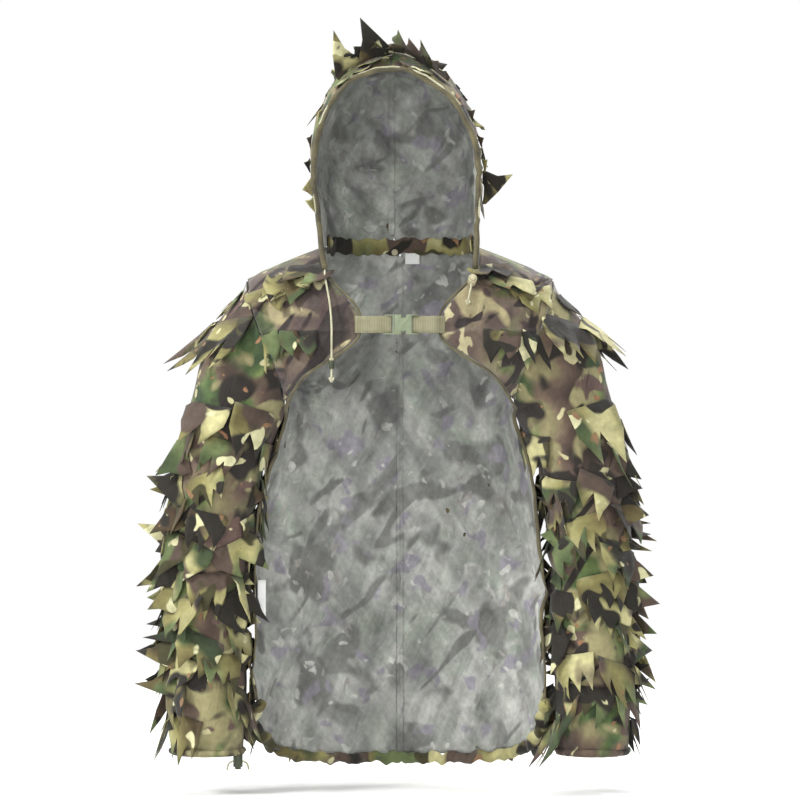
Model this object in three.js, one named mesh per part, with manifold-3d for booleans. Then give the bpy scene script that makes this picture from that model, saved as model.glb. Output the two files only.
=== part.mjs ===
// A hooded leaf jacket for hiding in woodland, open at the front, with a chest strap.
// Millimetres, +Z up, the wearer faces -Y. The origin is at the base of the wearer's neck.
// Left and right are the wearer's: left is +X, right is -X.
import * as THREE from 'three';
import { mergeVertices } from 'three/addons/utils/BufferGeometryUtils.js';
import Module from 'manifold-3d';

const wasm = await Module();
wasm.setup();

// ---- Driving dimensions ----
const jacketLength = 760;        // neck base to the lower edge of the back panel
const hemLift = 100;             // how much the hem rises at its two corners
const hemRoundness = 3.2;        // low numbers start the corner's curve nearer the middle
const neckHalfWidth = 112;
const neckHeight = 12;           // height of the neck seam over the neck base
const shoulderHalfWidth = 228;   // at the top of the armhole
const underarmHalfWidth = 169.5; // at the bottom of the armhole
const hemHalfWidth = 217;
const armholeTop = -38;
const armholeBottom = -235;
const armholeHalfDepth = 79;
const cuffHeight = -738;         // lower edge of the sleeve
const sleeveSpread = 118;        // how far the sleeve's outer line leaves the shoulder
const sleeveCuffShare = 0.66;    // depth of the cuff as a share of the armhole's
const hoodHeight = 306;          // crown above the neck base
const hoodDepth = 132;           // back of the head from the origin
const hoodLean = -13;            // the hood hangs a little to the wearer's right
const hoodBulge = 28;            // how far the hood's sides stand out past the neck
const neckOpening = 57;          // half the gap between the two front edges at the strap
const strapHeight = -107;        // middle of the chest strap
const strapWidth = 25;

// ---- Thicknesses and clearances ----
const fabric = 2;                // printed mesh and lining together
const gap = 0.35;                // between faces that touch
const seamWidth = 9;
const bindingRadius = 2.2;
const casingRadius = 4.6;
const casingBore = 2.3;
const cordRadius = 1.5;
const hemRadius = 5.4;
const hemBore = 3.6;
const elasticRadius = 2.6;
const cuffRadius = 4.2;
const cuffBore = 2.6;
const cuffElasticRadius = 1.8;
const leafThickness = 1.2;
const webbingThickness = 1.3;
const barThickness = 1.6;
const squareness = 2.5;          // 2 is an ellipse, more is boxier

const RIGHT = -1;
const LEFT = 1;
const sideName = { [RIGHT]: 'right', [LEFT]: 'left' };

const jacket = new THREE.Group();

// ---- Colours ----
const cloth = (colour) => new THREE.MeshStandardMaterial({ color: colour, roughness: 0.92, metalness: 0 });
const plastic = (colour) => new THREE.MeshStandardMaterial({ color: colour, roughness: 0.5, metalness: 0 });
const printCloth = cloth(0x5d5038);
const yokeCloth = cloth(0x5a4a45);
const liningCloth = cloth(0x8f938b);
const bindingCloth = cloth(0x6b6242);
const leafCloth = cloth(0x7c7a48);
const paleLeafCloth = cloth(0xb7ae7e);
const labelCloth = cloth(0xe8e8e2);
const webbingCloth = cloth(0xb0ab80);
const cordCloth = cloth(0xb9b698);
const elasticRubber = cloth(0x50503c);
const bucklePlastic = plastic(0xaab492);
const lockPlastic = plastic(0x3a3f2b);
const studPlastic = plastic(0xbdb79a);
const springSteel = new THREE.MeshStandardMaterial({ color: 0x9a9c9e, roughness: 0.35, metalness: 1 });

function add(name, geometry, material) {
  const mesh = new THREE.Mesh(geometry, material);
  mesh.name = name;
  jacket.add(mesh);
  return mesh;
}

// ---- Small tools ----

// A smooth value between stations [position, value] whose positions run one way,
// without overshooting any of them.
function smooth(stations, position) {
  const rising = stations[1][0] > stations[0][0];
  const list = rising ? stations : [...stations].reverse();
  const last = list.length - 1;
  const x = Math.min(Math.max(position, list[0][0]), list[last][0]);
  const step = (i) => (list[i + 1][1] - list[i][1]) / (list[i + 1][0] - list[i][0]);
  const slope = (i) => {
    if (i === 0) return step(0);
    if (i === last) return step(last - 1);
    const before = step(i - 1);
    const after = step(i);
    return before * after <= 0 ? 0 : (2 * before * after) / (before + after);
  };
  let i = 0;
  while (i < last - 1 && x > list[i + 1][0]) i += 1;
  const span = list[i + 1][0] - list[i][0];
  const t = (x - list[i][0]) / span;
  const rise = t * t * (3 - 2 * t);
  return list[i][1] * (1 - rise) + list[i + 1][1] * rise
    + span * t * (1 - t) * ((1 - t) * slope(i) - t * slope(i + 1));
}

const spread = (count, from, to) =>
  Array.from({ length: count }, (_, i) => from + ((to - from) * i) / (count - 1));
const power = (value, exponent) => Math.sign(value) * Math.abs(value) ** exponent;

// Closes a grid of points into a thin body: the grid is its inner face, and the outer face
// lies one thickness further from inside(point).
function shell(rows, thickness, inside, wrap = false) {
  const width = rows[0].length;
  const points = rows.flat();
  const normals = points.map((point, index) => {
    const r = Math.floor(index / width);
    const k = index % width;
    const above = rows[Math.max(r - 1, 0)][k];
    const below = rows[Math.min(r + 1, rows.length - 1)][k];
    const before = wrap ? rows[r][(k + width - 1) % width] : rows[r][Math.max(k - 1, 0)];
    const after = wrap ? rows[r][(k + 1) % width] : rows[r][Math.min(k + 1, width - 1)];
    return after.clone().sub(before).cross(below.clone().sub(above)).normalize();
  });
  const outwardness = points.reduce((sum, p, i) => sum + normals[i].dot(p.clone().sub(inside(p))), 0);
  const sign = Math.sign(outwardness);
  const outer = points.map((p, i) => p.clone().addScaledVector(normals[i], sign * thickness));
  const faces = [];
  for (let r = 0; r < rows.length - 1; r += 1) {
    for (let k = 0; k < (wrap ? width : width - 1); k += 1) {
      const next = (k + 1) % width;
      const quad = [r * width + k, r * width + next, (r + 1) * width + next, (r + 1) * width + k];
      if (sign < 0) quad.reverse();
      faces.push([quad[0], quad[1], quad[2]], [quad[0], quad[2], quad[3]]);
    }
  }
  return closeSheet(points, outer, faces);
}

// Joins an outer face, the inner face behind it and a wall round every open edge.
function closeSheet(inner, outer, faces) {
  const shift = inner.length;
  const edges = new Set(faces.flatMap(([a, b, c]) => [`${a},${b}`, `${b},${c}`, `${c},${a}`]));
  const walls = [];
  edges.forEach((edge) => {
    const [a, b] = edge.split(',').map(Number);
    if (edges.has(`${b},${a}`)) return;
    walls.push([b + shift, a + shift, a], [b + shift, a, b]);
  });
  const all = [
    ...faces.map((face) => face.map((i) => i + shift)),
    ...faces.map(([a, b, c]) => [a, c, b]),
    ...walls,
  ];
  const geometry = new THREE.BufferGeometry();
  const numbers = [...inner, ...outer].flatMap((p) => [p.x, p.y, p.z]);
  geometry.setAttribute('position', new THREE.Float32BufferAttribute(numbers, 3));
  geometry.setIndex(all.flat());
  return geometry;
}

// A round bar along a curve through points; a bore makes it a hollow casing open at both ends.
function bar(points, radius, steps, sides = 8, bore = 0) {
  const section = new THREE.Shape();
  section.absarc(0, 0, radius, 0, Math.PI * 2, false);
  if (bore > 0) {
    const hole = new THREE.Path();
    hole.absarc(0, 0, bore, 0, Math.PI * 2, true);
    section.holes.push(hole);
  }
  const path = new THREE.CatmullRomCurve3(points);
  const settings = { steps, curveSegments: sides, bevelEnabled: false, extrudePath: path };
  return new THREE.ExtrudeGeometry(section, settings);
}

function toSolid(geometry) {
  const plain = geometry.clone();
  plain.deleteAttribute('normal');
  plain.deleteAttribute('uv');
  const merged = mergeVertices(plain, 1e-4);
  const vertProperties = new Float32Array(merged.attributes.position.array);
  const triVerts = new Uint32Array(merged.index.array);
  return new wasm.Manifold(new wasm.Mesh({ numProp: 3, vertProperties, triVerts }));
}

function toGeometry(solid) {
  const mesh = solid.getMesh();
  const geometry = new THREE.BufferGeometry();
  geometry.setAttribute('position', new THREE.BufferAttribute(mesh.vertProperties, 3));
  geometry.setIndex(new THREE.BufferAttribute(mesh.triVerts, 1));
  return geometry;
}

// A box between two corners, and a rod between two points on one axis.
function block(low, high) {
  const size = high.map((value, i) => value - low[i]);
  const middle = high.map((value, i) => (value + low[i]) / 2);
  return new THREE.BoxGeometry(...size).translate(...middle);
}

function rod(centre, radius, length, axis, sides = 20) {
  const geometry = new THREE.CylinderGeometry(radius, radius, length, sides);
  if (axis === 'x') geometry.rotateZ(Math.PI / 2);
  if (axis === 'z') geometry.rotateX(Math.PI / 2);
  return geometry.translate(...centre);
}

function joined(first, added, cut) {
  let solid = toSolid(first);
  added.forEach((piece) => { solid = solid.add(toSolid(piece)); });
  cut.forEach((piece) => { solid = solid.subtract(toSolid(piece)); });
  return toGeometry(solid);
}

// ---- The torso's surface ----
// A stack of flattened rings. turn is 0 at the middle of the back, a quarter turn at the
// side seam and half a turn at the front.
const shoulderRun = [
  [neckHeight, neckHalfWidth],
  [neckHeight - 18, neckHalfWidth + 0.41 * (shoulderHalfWidth - neckHalfWidth)],
  [neckHeight - 34, neckHalfWidth + 0.74 * (shoulderHalfWidth - neckHalfWidth)],
  [armholeTop, shoulderHalfWidth],
];
const sideLineStations = [
  ...shoulderRun,
  [armholeBottom, underarmHalfWidth],
  [armholeBottom - 65, underarmHalfWidth + 0.47 * (hemHalfWidth - underarmHalfWidth)],
  [armholeBottom - 132, underarmHalfWidth + 0.8 * (hemHalfWidth - underarmHalfWidth)],
  [armholeBottom - 210, underarmHalfWidth + 0.95 * (hemHalfWidth - underarmHalfWidth)],
  [-jacketLength, hemHalfWidth],
];
const depthStations = [
  [neckHeight, 82], [-6, 86], [armholeTop, 100], [-90, 117], [-135, 122], [-jacketLength, 118],
];
const centreStations = [[neckHeight, 16], [armholeTop, 11], [-90, 5], [-135, 1], [-jacketLength, 0]];
const sideLine = (z) => smooth(sideLineStations, z);
const halfDepth = (z) => smooth(depthStations, z);
const ringCentre = (z) => smooth(centreStations, z);

// The ring is wide enough that the armhole cuts an ellipse out of it.
function ringHalfWidth(z) {
  const share = (z - armholeBottom) / (armholeTop - armholeBottom);
  if (share <= 0 || share >= 1) return sideLine(z);
  const opening = armholeHalfDepth * Math.sqrt(1 - (2 * share - 1) ** 2);
  const flat = 1 - (opening / halfDepth(z)) ** squareness;
  return sideLine(z) / flat ** (1 / squareness);
}

function torsoPoint(turn, z) {
  const x = ringHalfWidth(z) * power(Math.sin(turn), 2 / squareness);
  const y = ringCentre(z) + halfDepth(z) * power(Math.cos(turn), 2 / squareness);
  return new THREE.Vector3(x, y, z);
}

// The turn at which the ring passes a given distance from the middle plane.
function turnAt(x, z) {
  const share = Math.min(x / ringHalfWidth(z), 1);
  return Math.asin(share ** (squareness / 2));
}

const frontY = (x, z) => torsoPoint(Math.PI - turnAt(x, z), z).y;
const torsoAxis = (p) => new THREE.Vector3(0, ringCentre(p.z), Math.min(p.z, -120));

// ---- Back panels, centre seam, labels ----
const seamGap = 1;
const sideEdgeTurn = THREE.MathUtils.degToRad(97);
const sideTurnStations = [
  [armholeBottom, Math.PI / 2], [armholeBottom - 60, sideEdgeTurn], [-jacketLength, sideEdgeTurn],
];
const edgeClearance = bindingRadius + gap;
const armholeAllowance = 1.6;    // the torso's edge stops short of the sleeve's

function hemHeight(turn) {
  return -jacketLength + hemLift * (Math.abs(turn) / sideEdgeTurn) ** hemRoundness;
}

// The turn at the outer edge of a back panel: shoulder seam, armhole, then side edge.
function backEdgeTurn(z) {
  if (z > armholeTop) return Math.PI / 2 - gap / ringHalfWidth(z);
  if (z > armholeBottom) return turnAt(sideLine(z) - armholeAllowance, z);
  const clear = (edgeClearance + 1.2) / halfDepth(z);
  return smooth(sideTurnStations, z) - clear;
}

const backHeights = [
  neckHeight - gap, 2, -12, -26, armholeTop + 1, ...spread(6, armholeTop - 12, armholeBottom + 3),
  ...spread(3, armholeBottom - 10, armholeBottom - 60),
];
function backPanel(side) {
  const columns = spread(9, 0, 1);
  const rows = backHeights.map((z) => columns.map((share) => {
    const from = turnAt(seamGap, z);
    return torsoPoint(side * (from + (backEdgeTurn(z) - from) * share), z);
  }));
  const start = armholeBottom - 60;
  spread(9, 0, 1).slice(1).forEach((drop) => {
    rows.push(columns.map((share) => {
      const from = turnAt(seamGap, start);
      const turn = from + (backEdgeTurn(start) - from) * share;
      return torsoPoint(side * turn, start + (hemHeight(turn) - start) * drop);
    }));
  });
  return shell(rows, fabric, torsoAxis);
}
add('back_panel_right', backPanel(RIGHT), printCloth);
add('back_panel_left', backPanel(LEFT), printCloth);

// A point a given distance off the torso's surface, inwards where the distance is negative.
function offTorso(turn, z, distance) {
  const nudge = 0.002;
  const across = torsoPoint(turn + nudge, z).sub(torsoPoint(turn - nudge, z));
  const down = torsoPoint(turn, z - 0.5).sub(torsoPoint(turn, z + 0.5));
  const normal = across.cross(down).normalize();
  const point = torsoPoint(turn, z);
  if (normal.dot(point.clone().sub(torsoAxis(point))) < 0) normal.negate();
  return point.addScaledVector(normal, distance);
}
const tapeThickness = 1;
const tapeHeights = [
  ...backHeights.slice(1), ...spread(9, armholeBottom - 60, -jacketLength).slice(1),
];
const seamTape = tapeHeights.map((z) => (
  spread(3, -seamWidth / 2, seamWidth / 2).map((x) => (
    offTorso(Math.sign(x) * turnAt(Math.abs(x), z), z, -tapeThickness - 2 * gap)
  ))
));
add('centre_back_seam', shell(seamTape, tapeThickness, torsoAxis), liningCloth);

// ---- Front yokes ----
// The distance of the front edge from the middle, down the neckline, past the strap and
// out along the lower edge to the underarm.
const strapTop = strapHeight + strapWidth / 2 - 1;
const strapBottom = strapHeight - strapWidth / 2 - 2;
const hoodCorner = -27;
const yokeBottom = armholeBottom + 10;
const frontEdgeStations = [
  [neckHeight, neckHalfWidth - 4],
  [0, neckHalfWidth + 4],
  [hoodCorner, neckHalfWidth - 2],
  [strapTop, neckOpening],
  [strapBottom, neckOpening],
  [strapBottom - 0.24 * (strapBottom - yokeBottom), neckOpening + 0.23 * (underarmHalfWidth - neckOpening)],
  [strapBottom - 0.6 * (strapBottom - yokeBottom), neckOpening + 0.74 * (underarmHalfWidth - neckOpening)],
  [yokeBottom, underarmHalfWidth - 2],
];
const frontEdge = (z) => smooth(frontEdgeStations, z);

function yokeInnerEdge(z) {
  const slope = (frontEdge(z + 1) - frontEdge(z - 1)) / 2;
  return frontEdge(z) + (edgeClearance + 1.1) * Math.hypot(1, slope);
}

function yokeOuterTurn(z) {
  if (z > armholeTop) return Math.PI / 2 + gap / ringHalfWidth(z);
  return Math.PI - turnAt(sideLine(z) - armholeAllowance, z);
}

const yokeHeights = [
  neckHeight - gap, 2, -12, -26, armholeTop + 1, ...spread(3, armholeTop - 12, strapTop + 2),
  ...spread(2, strapTop - 6, strapBottom), ...spread(6, strapBottom - 8, yokeBottom + 9),
];
function frontYoke(side) {
  const rows = yokeHeights.map((z) => spread(7, 0, 1).map((share) => {
    const from = yokeOuterTurn(z);
    const to = Math.PI - turnAt(yokeInnerEdge(z), z);
    return torsoPoint(side * (from + (to - from) * share), z);
  }));
  return shell(rows, fabric, torsoAxis);
}
add('front_yoke_right', frontYoke(RIGHT), yokeCloth);
add('front_yoke_left', frontYoke(LEFT), yokeCloth);

// ---- Edge binding: down the neckline, round the strap end, out and down the side edge ----
const bindingTop = hoodCorner - 9;
function edgeBinding(side) {
  const middle = fabric / 2;
  const front = [...spread(6, bindingTop, strapTop), ...spread(9, strapBottom, yokeBottom + 6)].map((z) => {
    const point = torsoPoint(Math.PI - turnAt(frontEdge(z), z), z);
    return point.addScaledVector(point.clone().sub(torsoAxis(point)).setZ(0).normalize(), middle);
  });
  const down = spread(16, armholeBottom - 14, -jacketLength + hemLift - 4).map((z) => {
    const point = torsoPoint(smooth(sideTurnStations, z), z);
    return point.addScaledVector(point.clone().sub(torsoAxis(point)).setZ(0).normalize(), middle);
  });
  const path = [...front, ...down].map((p) => new THREE.Vector3(side * p.x, p.y, p.z));
  return bar(path, bindingRadius, 48, 3);
}
add('edge_binding_right', edgeBinding(RIGHT), bindingCloth);
add('edge_binding_left', edgeBinding(LEFT), bindingCloth);

// ---- Hem casing with its elastic ----
const hemEnd = sideEdgeTurn - 0.05;
const hemSteps = 40;
// The casing lies off the cut edge along the cloth, square to the edge.
function hemPath(turns) {
  const cutEdge = (turn) => torsoPoint(turn, hemHeight(turn));
  return turns.map((turn) => {
    const point = cutEdge(turn);
    const out = point.clone().sub(torsoAxis(point)).setZ(0).normalize();
    const along = cutEdge(turn + 0.01).sub(cutEdge(turn - 0.01)).normalize();
    const off = along.cross(out).normalize();
    if (off.z > 0) off.negate();
    return point.addScaledVector(out, fabric / 2).addScaledVector(off, hemRadius + gap + 0.3);
  });
}
const hemRoute = hemPath(spread(hemSteps + 1, -hemEnd, hemEnd));
add('hem_casing', bar(hemRoute, hemRadius, hemSteps, 4, hemBore), printCloth);
add('hem_elastic', bar(hemRoute, elasticRadius, 24, 3), elasticRubber);

// ---- Hood ----
// Arches run from the crown seam down to the neck seam, fanned from the face opening to the nape.
const rimY = -88;
const hoodSpine = new THREE.CatmullRomCurve3([
  [rimY, hoodHeight - 34], [rimY + 43, hoodHeight - 6], [15, hoodHeight], [75, hoodHeight - 18],
  [hoodDepth - 14, hoodHeight - 71], [hoodDepth, 165], [hoodDepth - 4, 90], [hoodDepth - 26, 36],
].map(([y, z]) => new THREE.Vector3(0, y, z)));
const neckSeamLift = fabric + gap + 0.4;
const neckFront = spread(6, hoodCorner, neckHeight)
  .slice(0, 5)
  .map((z) => torsoPoint(Math.PI - turnAt(frontEdge(z), z), z));
const cornerTurn = Math.PI - turnAt(frontEdge(neckHeight), neckHeight);
const neckBack = spread(12, cornerTurn, turnAt(seamGap, neckHeight))
  .map((turn) => torsoPoint(turn, neckHeight));
const neckSeam = new THREE.CatmullRomCurve3(
  [...neckFront, ...neckBack].map((p) => p.setZ(p.z + neckSeamLift)),
);
const archPower = 0.8;
const crownSeamHalfGap = 1.3;
const crownTapeClearance = 1.7;  // the shells bend in a little beside their seam

function hoodPoint(u, arch) {
  const crown = hoodSpine.getPointAt(u);
  const neck = neckSeam.getPointAt(u);
  const up = Math.cos(arch) ** archPower;
  const out = Math.abs(Math.sin(arch)) ** archPower;
  const bulge = hoodBulge * (1 - u * u) * Math.sin(2 * Math.abs(arch)) * Math.abs(Math.sin(arch));
  const x = crownSeamHalfGap * (1 - out) + neck.x * out + bulge;
  return new THREE.Vector3(
    Math.sign(arch) * x + hoodLean * up,
    neck.y + (crown.y - neck.y) * up,
    neck.z + (crown.z - neck.z) * up,
  );
}
const hoodInside = (p) => new THREE.Vector3(hoodLean, 20, Math.min(Math.max(p.z, 40), 150));
const tiny = 1e-6;
const quarter = Math.PI / 2 - 1e-4;

const hoodSteps = spread(12, 0, 1);
function hoodShell(side) {
  const rows = hoodSteps.map((u) => spread(8, tiny, quarter).map((arch) => hoodPoint(u, side * arch)));
  return shell(rows, fabric, hoodInside);
}
add('hood_shell_right', hoodShell(RIGHT), printCloth);
add('hood_shell_left', hoodShell(LEFT), printCloth);

const hoodTape = hoodSteps.map((u) => {
  const point = hoodSpine.getPointAt(u);
  const along = hoodSpine.getTangentAt(u);
  const inward = new THREE.Vector3(0, -along.z, along.y);
  if (inward.dot(new THREE.Vector3(0, 20, 150).sub(point)) < 0) inward.negate();
  point.addScaledVector(inward, tapeThickness + gap + crownTapeClearance);
  const across = spread(3, -seamWidth / 2, seamWidth / 2);
  return across.map((x) => new THREE.Vector3(x + hoodLean, point.y, point.z));
});
add('hood_seam', shell(hoodTape, tapeThickness, hoodInside), liningCloth);

// ---- Rim casing with the drawcord inside ----
const rimAhead = casingRadius + gap + 1;
const rimArches = [...spread(12, -quarter, -0.06), ...spread(12, 0.06, quarter)];
const rimPath = rimArches.map((arch) => {
  const point = hoodPoint(0, arch);
  const out = new THREE.Vector3(Math.sin(arch), 0, Math.cos(arch)).multiplyScalar(fabric / 2);
  return point.add(out).setY(point.y - rimAhead);
});
add('rim_casing', bar(rimPath, casingRadius, 28, 4, casingBore), bindingCloth);
add('hood_drawcord', bar(rimPath, cordRadius, 28, 4), cordCloth);

// ---- Collar band, neck stud and size label inside the back of the neck ----
const bandHeight = 22;
const bandInset = fabric + gap + 0.6;
const bandThickness = 1.4;
const bandTurns = spread(17, -1.75, 1.75);
function insetRing(turn, inset) {
  const point = torsoPoint(turn, neckHeight);
  return point.addScaledVector(torsoAxis(point).sub(point).setZ(0).normalize(), inset);
}
const collarRows = spread(3, 0, 1).map((share) => bandTurns.map((turn) => (
  insetRing(turn, bandInset).setZ(neckHeight - 7 + bandHeight * share)
)));
add('collar_band', shell(collarRows, bandThickness, torsoAxis), printCloth);
const bandFace = torsoPoint(0, neckHeight).y - bandInset;
const studX = -8;
const studThickness = 2;
const studY = bandFace - gap - 1.2 - studThickness / 2;
add('neck_stud', rod([studX, studY, 8], 5, studThickness, 'y'), studPlastic);
const labelThickness = 0.8;
const labelFace = bandFace - gap - 1.4;
const sizeLabelX = 8;
add('size_label', block(
  [sizeLabelX, labelFace - labelThickness, -10],
  [sizeLabelX + 22, labelFace, neckHeight - 5],
), labelCloth);
const careZ = -514;
const careX = torsoPoint(sideEdgeTurn, careZ).x;
const careY = torsoPoint(sideEdgeTurn - 0.1, careZ).y;
add('care_label', block(
  [-careX + 0.7, careY - labelThickness, careZ - 27],
  [-careX + 13, careY, careZ + 27],
), labelCloth);

// ---- Sleeves ----
// Rings between an outer line, from the shoulder down, and an inner line, from the underarm down.
const sleeveTurnStations = [
  [0, 0], [0.1, 0.034], [0.2, 0.08], [0.3, 0.135], [0.4, 0.2], [0.52, 0.33], [1, 1],
];
const outerSpreadStations = [
  [0, 0], [0.05, 0.28], [0.1, 0.48], [0.18, 0.62], [0.28, 0.76], [0.4, 0.91], [0.6, 0.98],
  [0.8, 1], [1, 0.95],
];
const sleeveDepthStations = [[0, 1], [0.1, 1], [0.28, 0.94], [0.5, 0.84], [0.8, 0.75], [1, sleeveCuffShare]];
const underarmClearance = 3.2;
const cuffClearance = 16;

function sleevePoint(side, s, turn) {
  const innerShare = smooth(sleeveTurnStations, s);
  const innerZ = armholeBottom + 3 + (cuffHeight - armholeBottom - 3) * innerShare;
  const outerZ = armholeTop + (cuffHeight - armholeTop) * s;
  const innerX = sideLine(Math.min(innerZ, armholeBottom)) + fabric * 2 + underarmClearance
    + (cuffClearance - underarmClearance) * innerShare;
  const outerX = shoulderHalfWidth + gap + sleeveSpread * smooth(outerSpreadStations, s);
  const h = (1 + Math.cos(turn)) / 2;
  const straightX = innerX + (outerX - innerX) * h;
  const z = innerZ + (outerZ - innerZ) * h;
  const seamX = sideLine(Math.min(z, armholeTop)) + gap + 4 * (1 - h) ** 6;
  const atSeam = Math.max(1 - s / 0.12, 0) ** 2;
  const depth = armholeHalfDepth * smooth(sleeveDepthStations, s);
  return new THREE.Vector3(
    side * (seamX * atSeam + straightX * (1 - atSeam)),
    ringCentre(z) + depth * Math.sin(turn),
    z,
  );
}

function sleeveAxis(side) {
  return (p) => {
    const s = Math.min(Math.max((p.z - armholeTop - 30) / (cuffHeight - armholeTop), 0), 1);
    const a = sleevePoint(side, s, 0);
    const b = sleevePoint(side, s, Math.PI);
    return a.add(b).multiplyScalar(0.5);
  };
}

const ringTurns = spread(21, 0, Math.PI * 2).slice(0, 20);
const sleeveSteps = [0, 0.03, 0.07, 0.12, 0.19, 0.28, 0.38, 0.5, 0.64, 0.82, 1];
function sleeve(side) {
  const rows = sleeveSteps.map((s) => ringTurns.map((turn) => sleevePoint(side, s, turn)));
  return shell(rows, fabric, sleeveAxis(side), true);
}

// ---- Cuffs: an open-ended casing with an elastic cord in it ----
const cuffSlot = 0.16; // half the angle that the cord's exit takes
function cuffPath(side) {
  return spread(25, cuffSlot, Math.PI * 2 - cuffSlot).map((turn) => {
    const point = sleevePoint(side, 1, turn + Math.PI);
    return point.setZ(cuffHeight - cuffRadius - gap - 0.3);
  });
}
[RIGHT, LEFT].forEach((side) => {
  const name = sideName[side];
  add(`sleeve_${name}`, sleeve(side), printCloth);
  add(`cuff_casing_${name}`, bar(cuffPath(side), cuffRadius, 20, 4, cuffBore), bindingCloth);
  add(`cuff_elastic_${name}`, bar(cuffPath(side), cuffElasticRadius, 20, 3), elasticRubber);
});

// ---- Leaf strips: toothed bands sewn along their upper edge ----
const leafLift = fabric + 0.6;
function leafStrip(surface, inside, teeth, length, stand, lift = leafLift) {
  const columns = teeth * 2 + 1;
  const rows = [0, 0.5, 1].map((row) => spread(columns, 0, 1).map((s, k) => {
    const reach = k % 2 === 1 ? 1 : 0.3;
    const drop = length * reach * row;
    const point = surface(s, drop);
    const across = surface(Math.min(s + 0.01, 1), drop).sub(surface(Math.max(s - 0.01, 0), drop));
    const down = surface(s, drop + 2).sub(surface(s, drop));
    const normal = across.cross(down).normalize();
    if (normal.dot(point.clone().sub(inside(point))) < 0) normal.negate();
    return point.addScaledVector(normal, lift + stand * (reach * row) ** 1.2);
  }));
  return shell(rows, leafThickness, inside);
}

const backStrips = [
  { from: -66, reach: 0.86, lift: 2 }, { from: -215, reach: 0.86, lift: 3 },
  { from: -370, reach: 0.93, lift: 2.6 }, { from: -525, reach: 0.93, lift: 2.6 },
];
backStrips.forEach(({ from, reach, lift }, index) => {
  const edge = Math.min(backEdgeTurn(from), backEdgeTurn(from - 90), Math.PI / 2) * reach;
  const surface = (s, drop) => torsoPoint(-edge + 2 * edge * s, from - drop);
  add(`back_leaves_${index + 1}`, leafStrip(surface, torsoAxis, 9, 95, 20, lift), leafCloth);
});
const hemLeafTop = -jacketLength + 92;
add('hem_leaves', leafStrip(
  (s, drop) => torsoPoint(-1.2 + 2.4 * s, hemLeafTop - drop),
  torsoAxis, 9, 84, 14,
), paleLeafCloth);

const yokeLeafTop = strapTop + 4;
[RIGHT, LEFT].forEach((side) => {
  const surface = (s, drop) => {
    const z = yokeLeafTop - drop;
    const from = yokeOuterTurn(z) + 0.08;
    const to = Math.PI - turnAt(Math.max(2 * neckOpening, frontEdge(z) + 6), z);
    return torsoPoint(side * (from + (to - from) * s), z);
  };
  add(`yoke_leaves_${sideName[side]}`, leafStrip(surface, torsoAxis, 4, 62, 9), paleLeafCloth);
});

const sleeveStrips = [
  { from: 0.13, length: 85, stand: 26, wrap: 1.5 }, { from: 0.36, length: 75, stand: 32, wrap: 1.75 },
  { from: 0.58, length: 70, stand: 40, wrap: 1.8 }, { from: 0.78, length: 70, stand: 40, wrap: 1.8 },
];
const sleeveRun = armholeTop - cuffHeight;
[RIGHT, LEFT].forEach((side) => sleeveStrips.forEach(({ from, length, stand, wrap }, index) => {
  const surface = (s, drop) => sleevePoint(side, from + drop / sleeveRun, -wrap + 2 * wrap * s);
  const strip = leafStrip(surface, sleeveAxis(side), 7, length, stand);
  add(`sleeve_leaves_${sideName[side]}_${index + 1}`, strip, leafCloth);
}));

const hoodStrips = [
  { from: 0.03, reach: 1.15, stand: 34, lift: 2.4 }, { from: 0.3, reach: 1.2, stand: 24, lift: 3.2 },
  { from: 0.55, reach: 1.15, stand: 20, lift: 2.5 },
];
const hoodRun = hoodSpine.getLength();
hoodStrips.forEach(({ from, reach, stand, lift }, index) => {
  const surface = (s, drop) => hoodPoint(from + drop / hoodRun, (2 * s - 1) * reach || tiny);
  add(`hood_leaves_${index + 1}`, leafStrip(surface, hoodInside, 9, 62, stand, lift), leafCloth);
});

// ---- Chest strap: doubled webbing at each end and a side-release buckle ----
const bindingFront = frontY(neckOpening, strapHeight - strapWidth / 2 - 2) - fabric / 2 - bindingRadius;
const strapY = bindingFront - gap + 0.1 - webbingThickness - gap - barThickness / 2;
const layerNear = barThickness / 2 + gap;
const layerFar = layerNear + webbingThickness;
const strapLow = strapHeight - strapWidth / 2;
const strapHigh = strapHeight + strapWidth / 2;
const sewnEnd = neckOpening + 9;
const foldedEnd = neckOpening + 1;

const buckleHigh = strapHeight + 14;
const buckleLow = strapHeight - 14;
const buckleMouth = -8;          // open end of the female half
const femaleBar = { from: 19.5, to: 22 };
const femaleEnd = 26.4;
const ladderBar = { from: -16.5, to: -14 };
const ladderEnd = -23;

// One strap: its inner layer is sewn to the yoke, and its outer layer is the folded-back end.
function webbing(side, loopEnd) {
  const inner = sewnEnd * side;
  const folded = foldedEnd * side;
  const outline = new THREE.Shape();
  const tip = loopEnd - side * webbingThickness;
  outline.moveTo(inner, layerFar);
  outline.lineTo(tip + side * layerFar, layerFar);
  outline.lineTo(tip, layerFar * 0.45);
  outline.lineTo(tip, -layerFar * 0.45);
  outline.lineTo(tip + side * layerFar, -layerFar);
  outline.lineTo(folded, -layerFar);
  outline.lineTo(folded, -layerNear);
  outline.lineTo(loopEnd, -layerNear);
  outline.lineTo(loopEnd, layerNear);
  outline.lineTo(inner, layerNear);
  outline.closePath();
  const geometry = new THREE.ExtrudeGeometry(outline, { depth: strapWidth, bevelEnabled: false });
  return geometry.translate(0, strapY, strapLow);
}
add('webbing_right', webbing(RIGHT, ladderBar.to + gap), webbingCloth);
add('webbing_left', webbing(LEFT, femaleBar.from - gap), webbingCloth);

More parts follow.
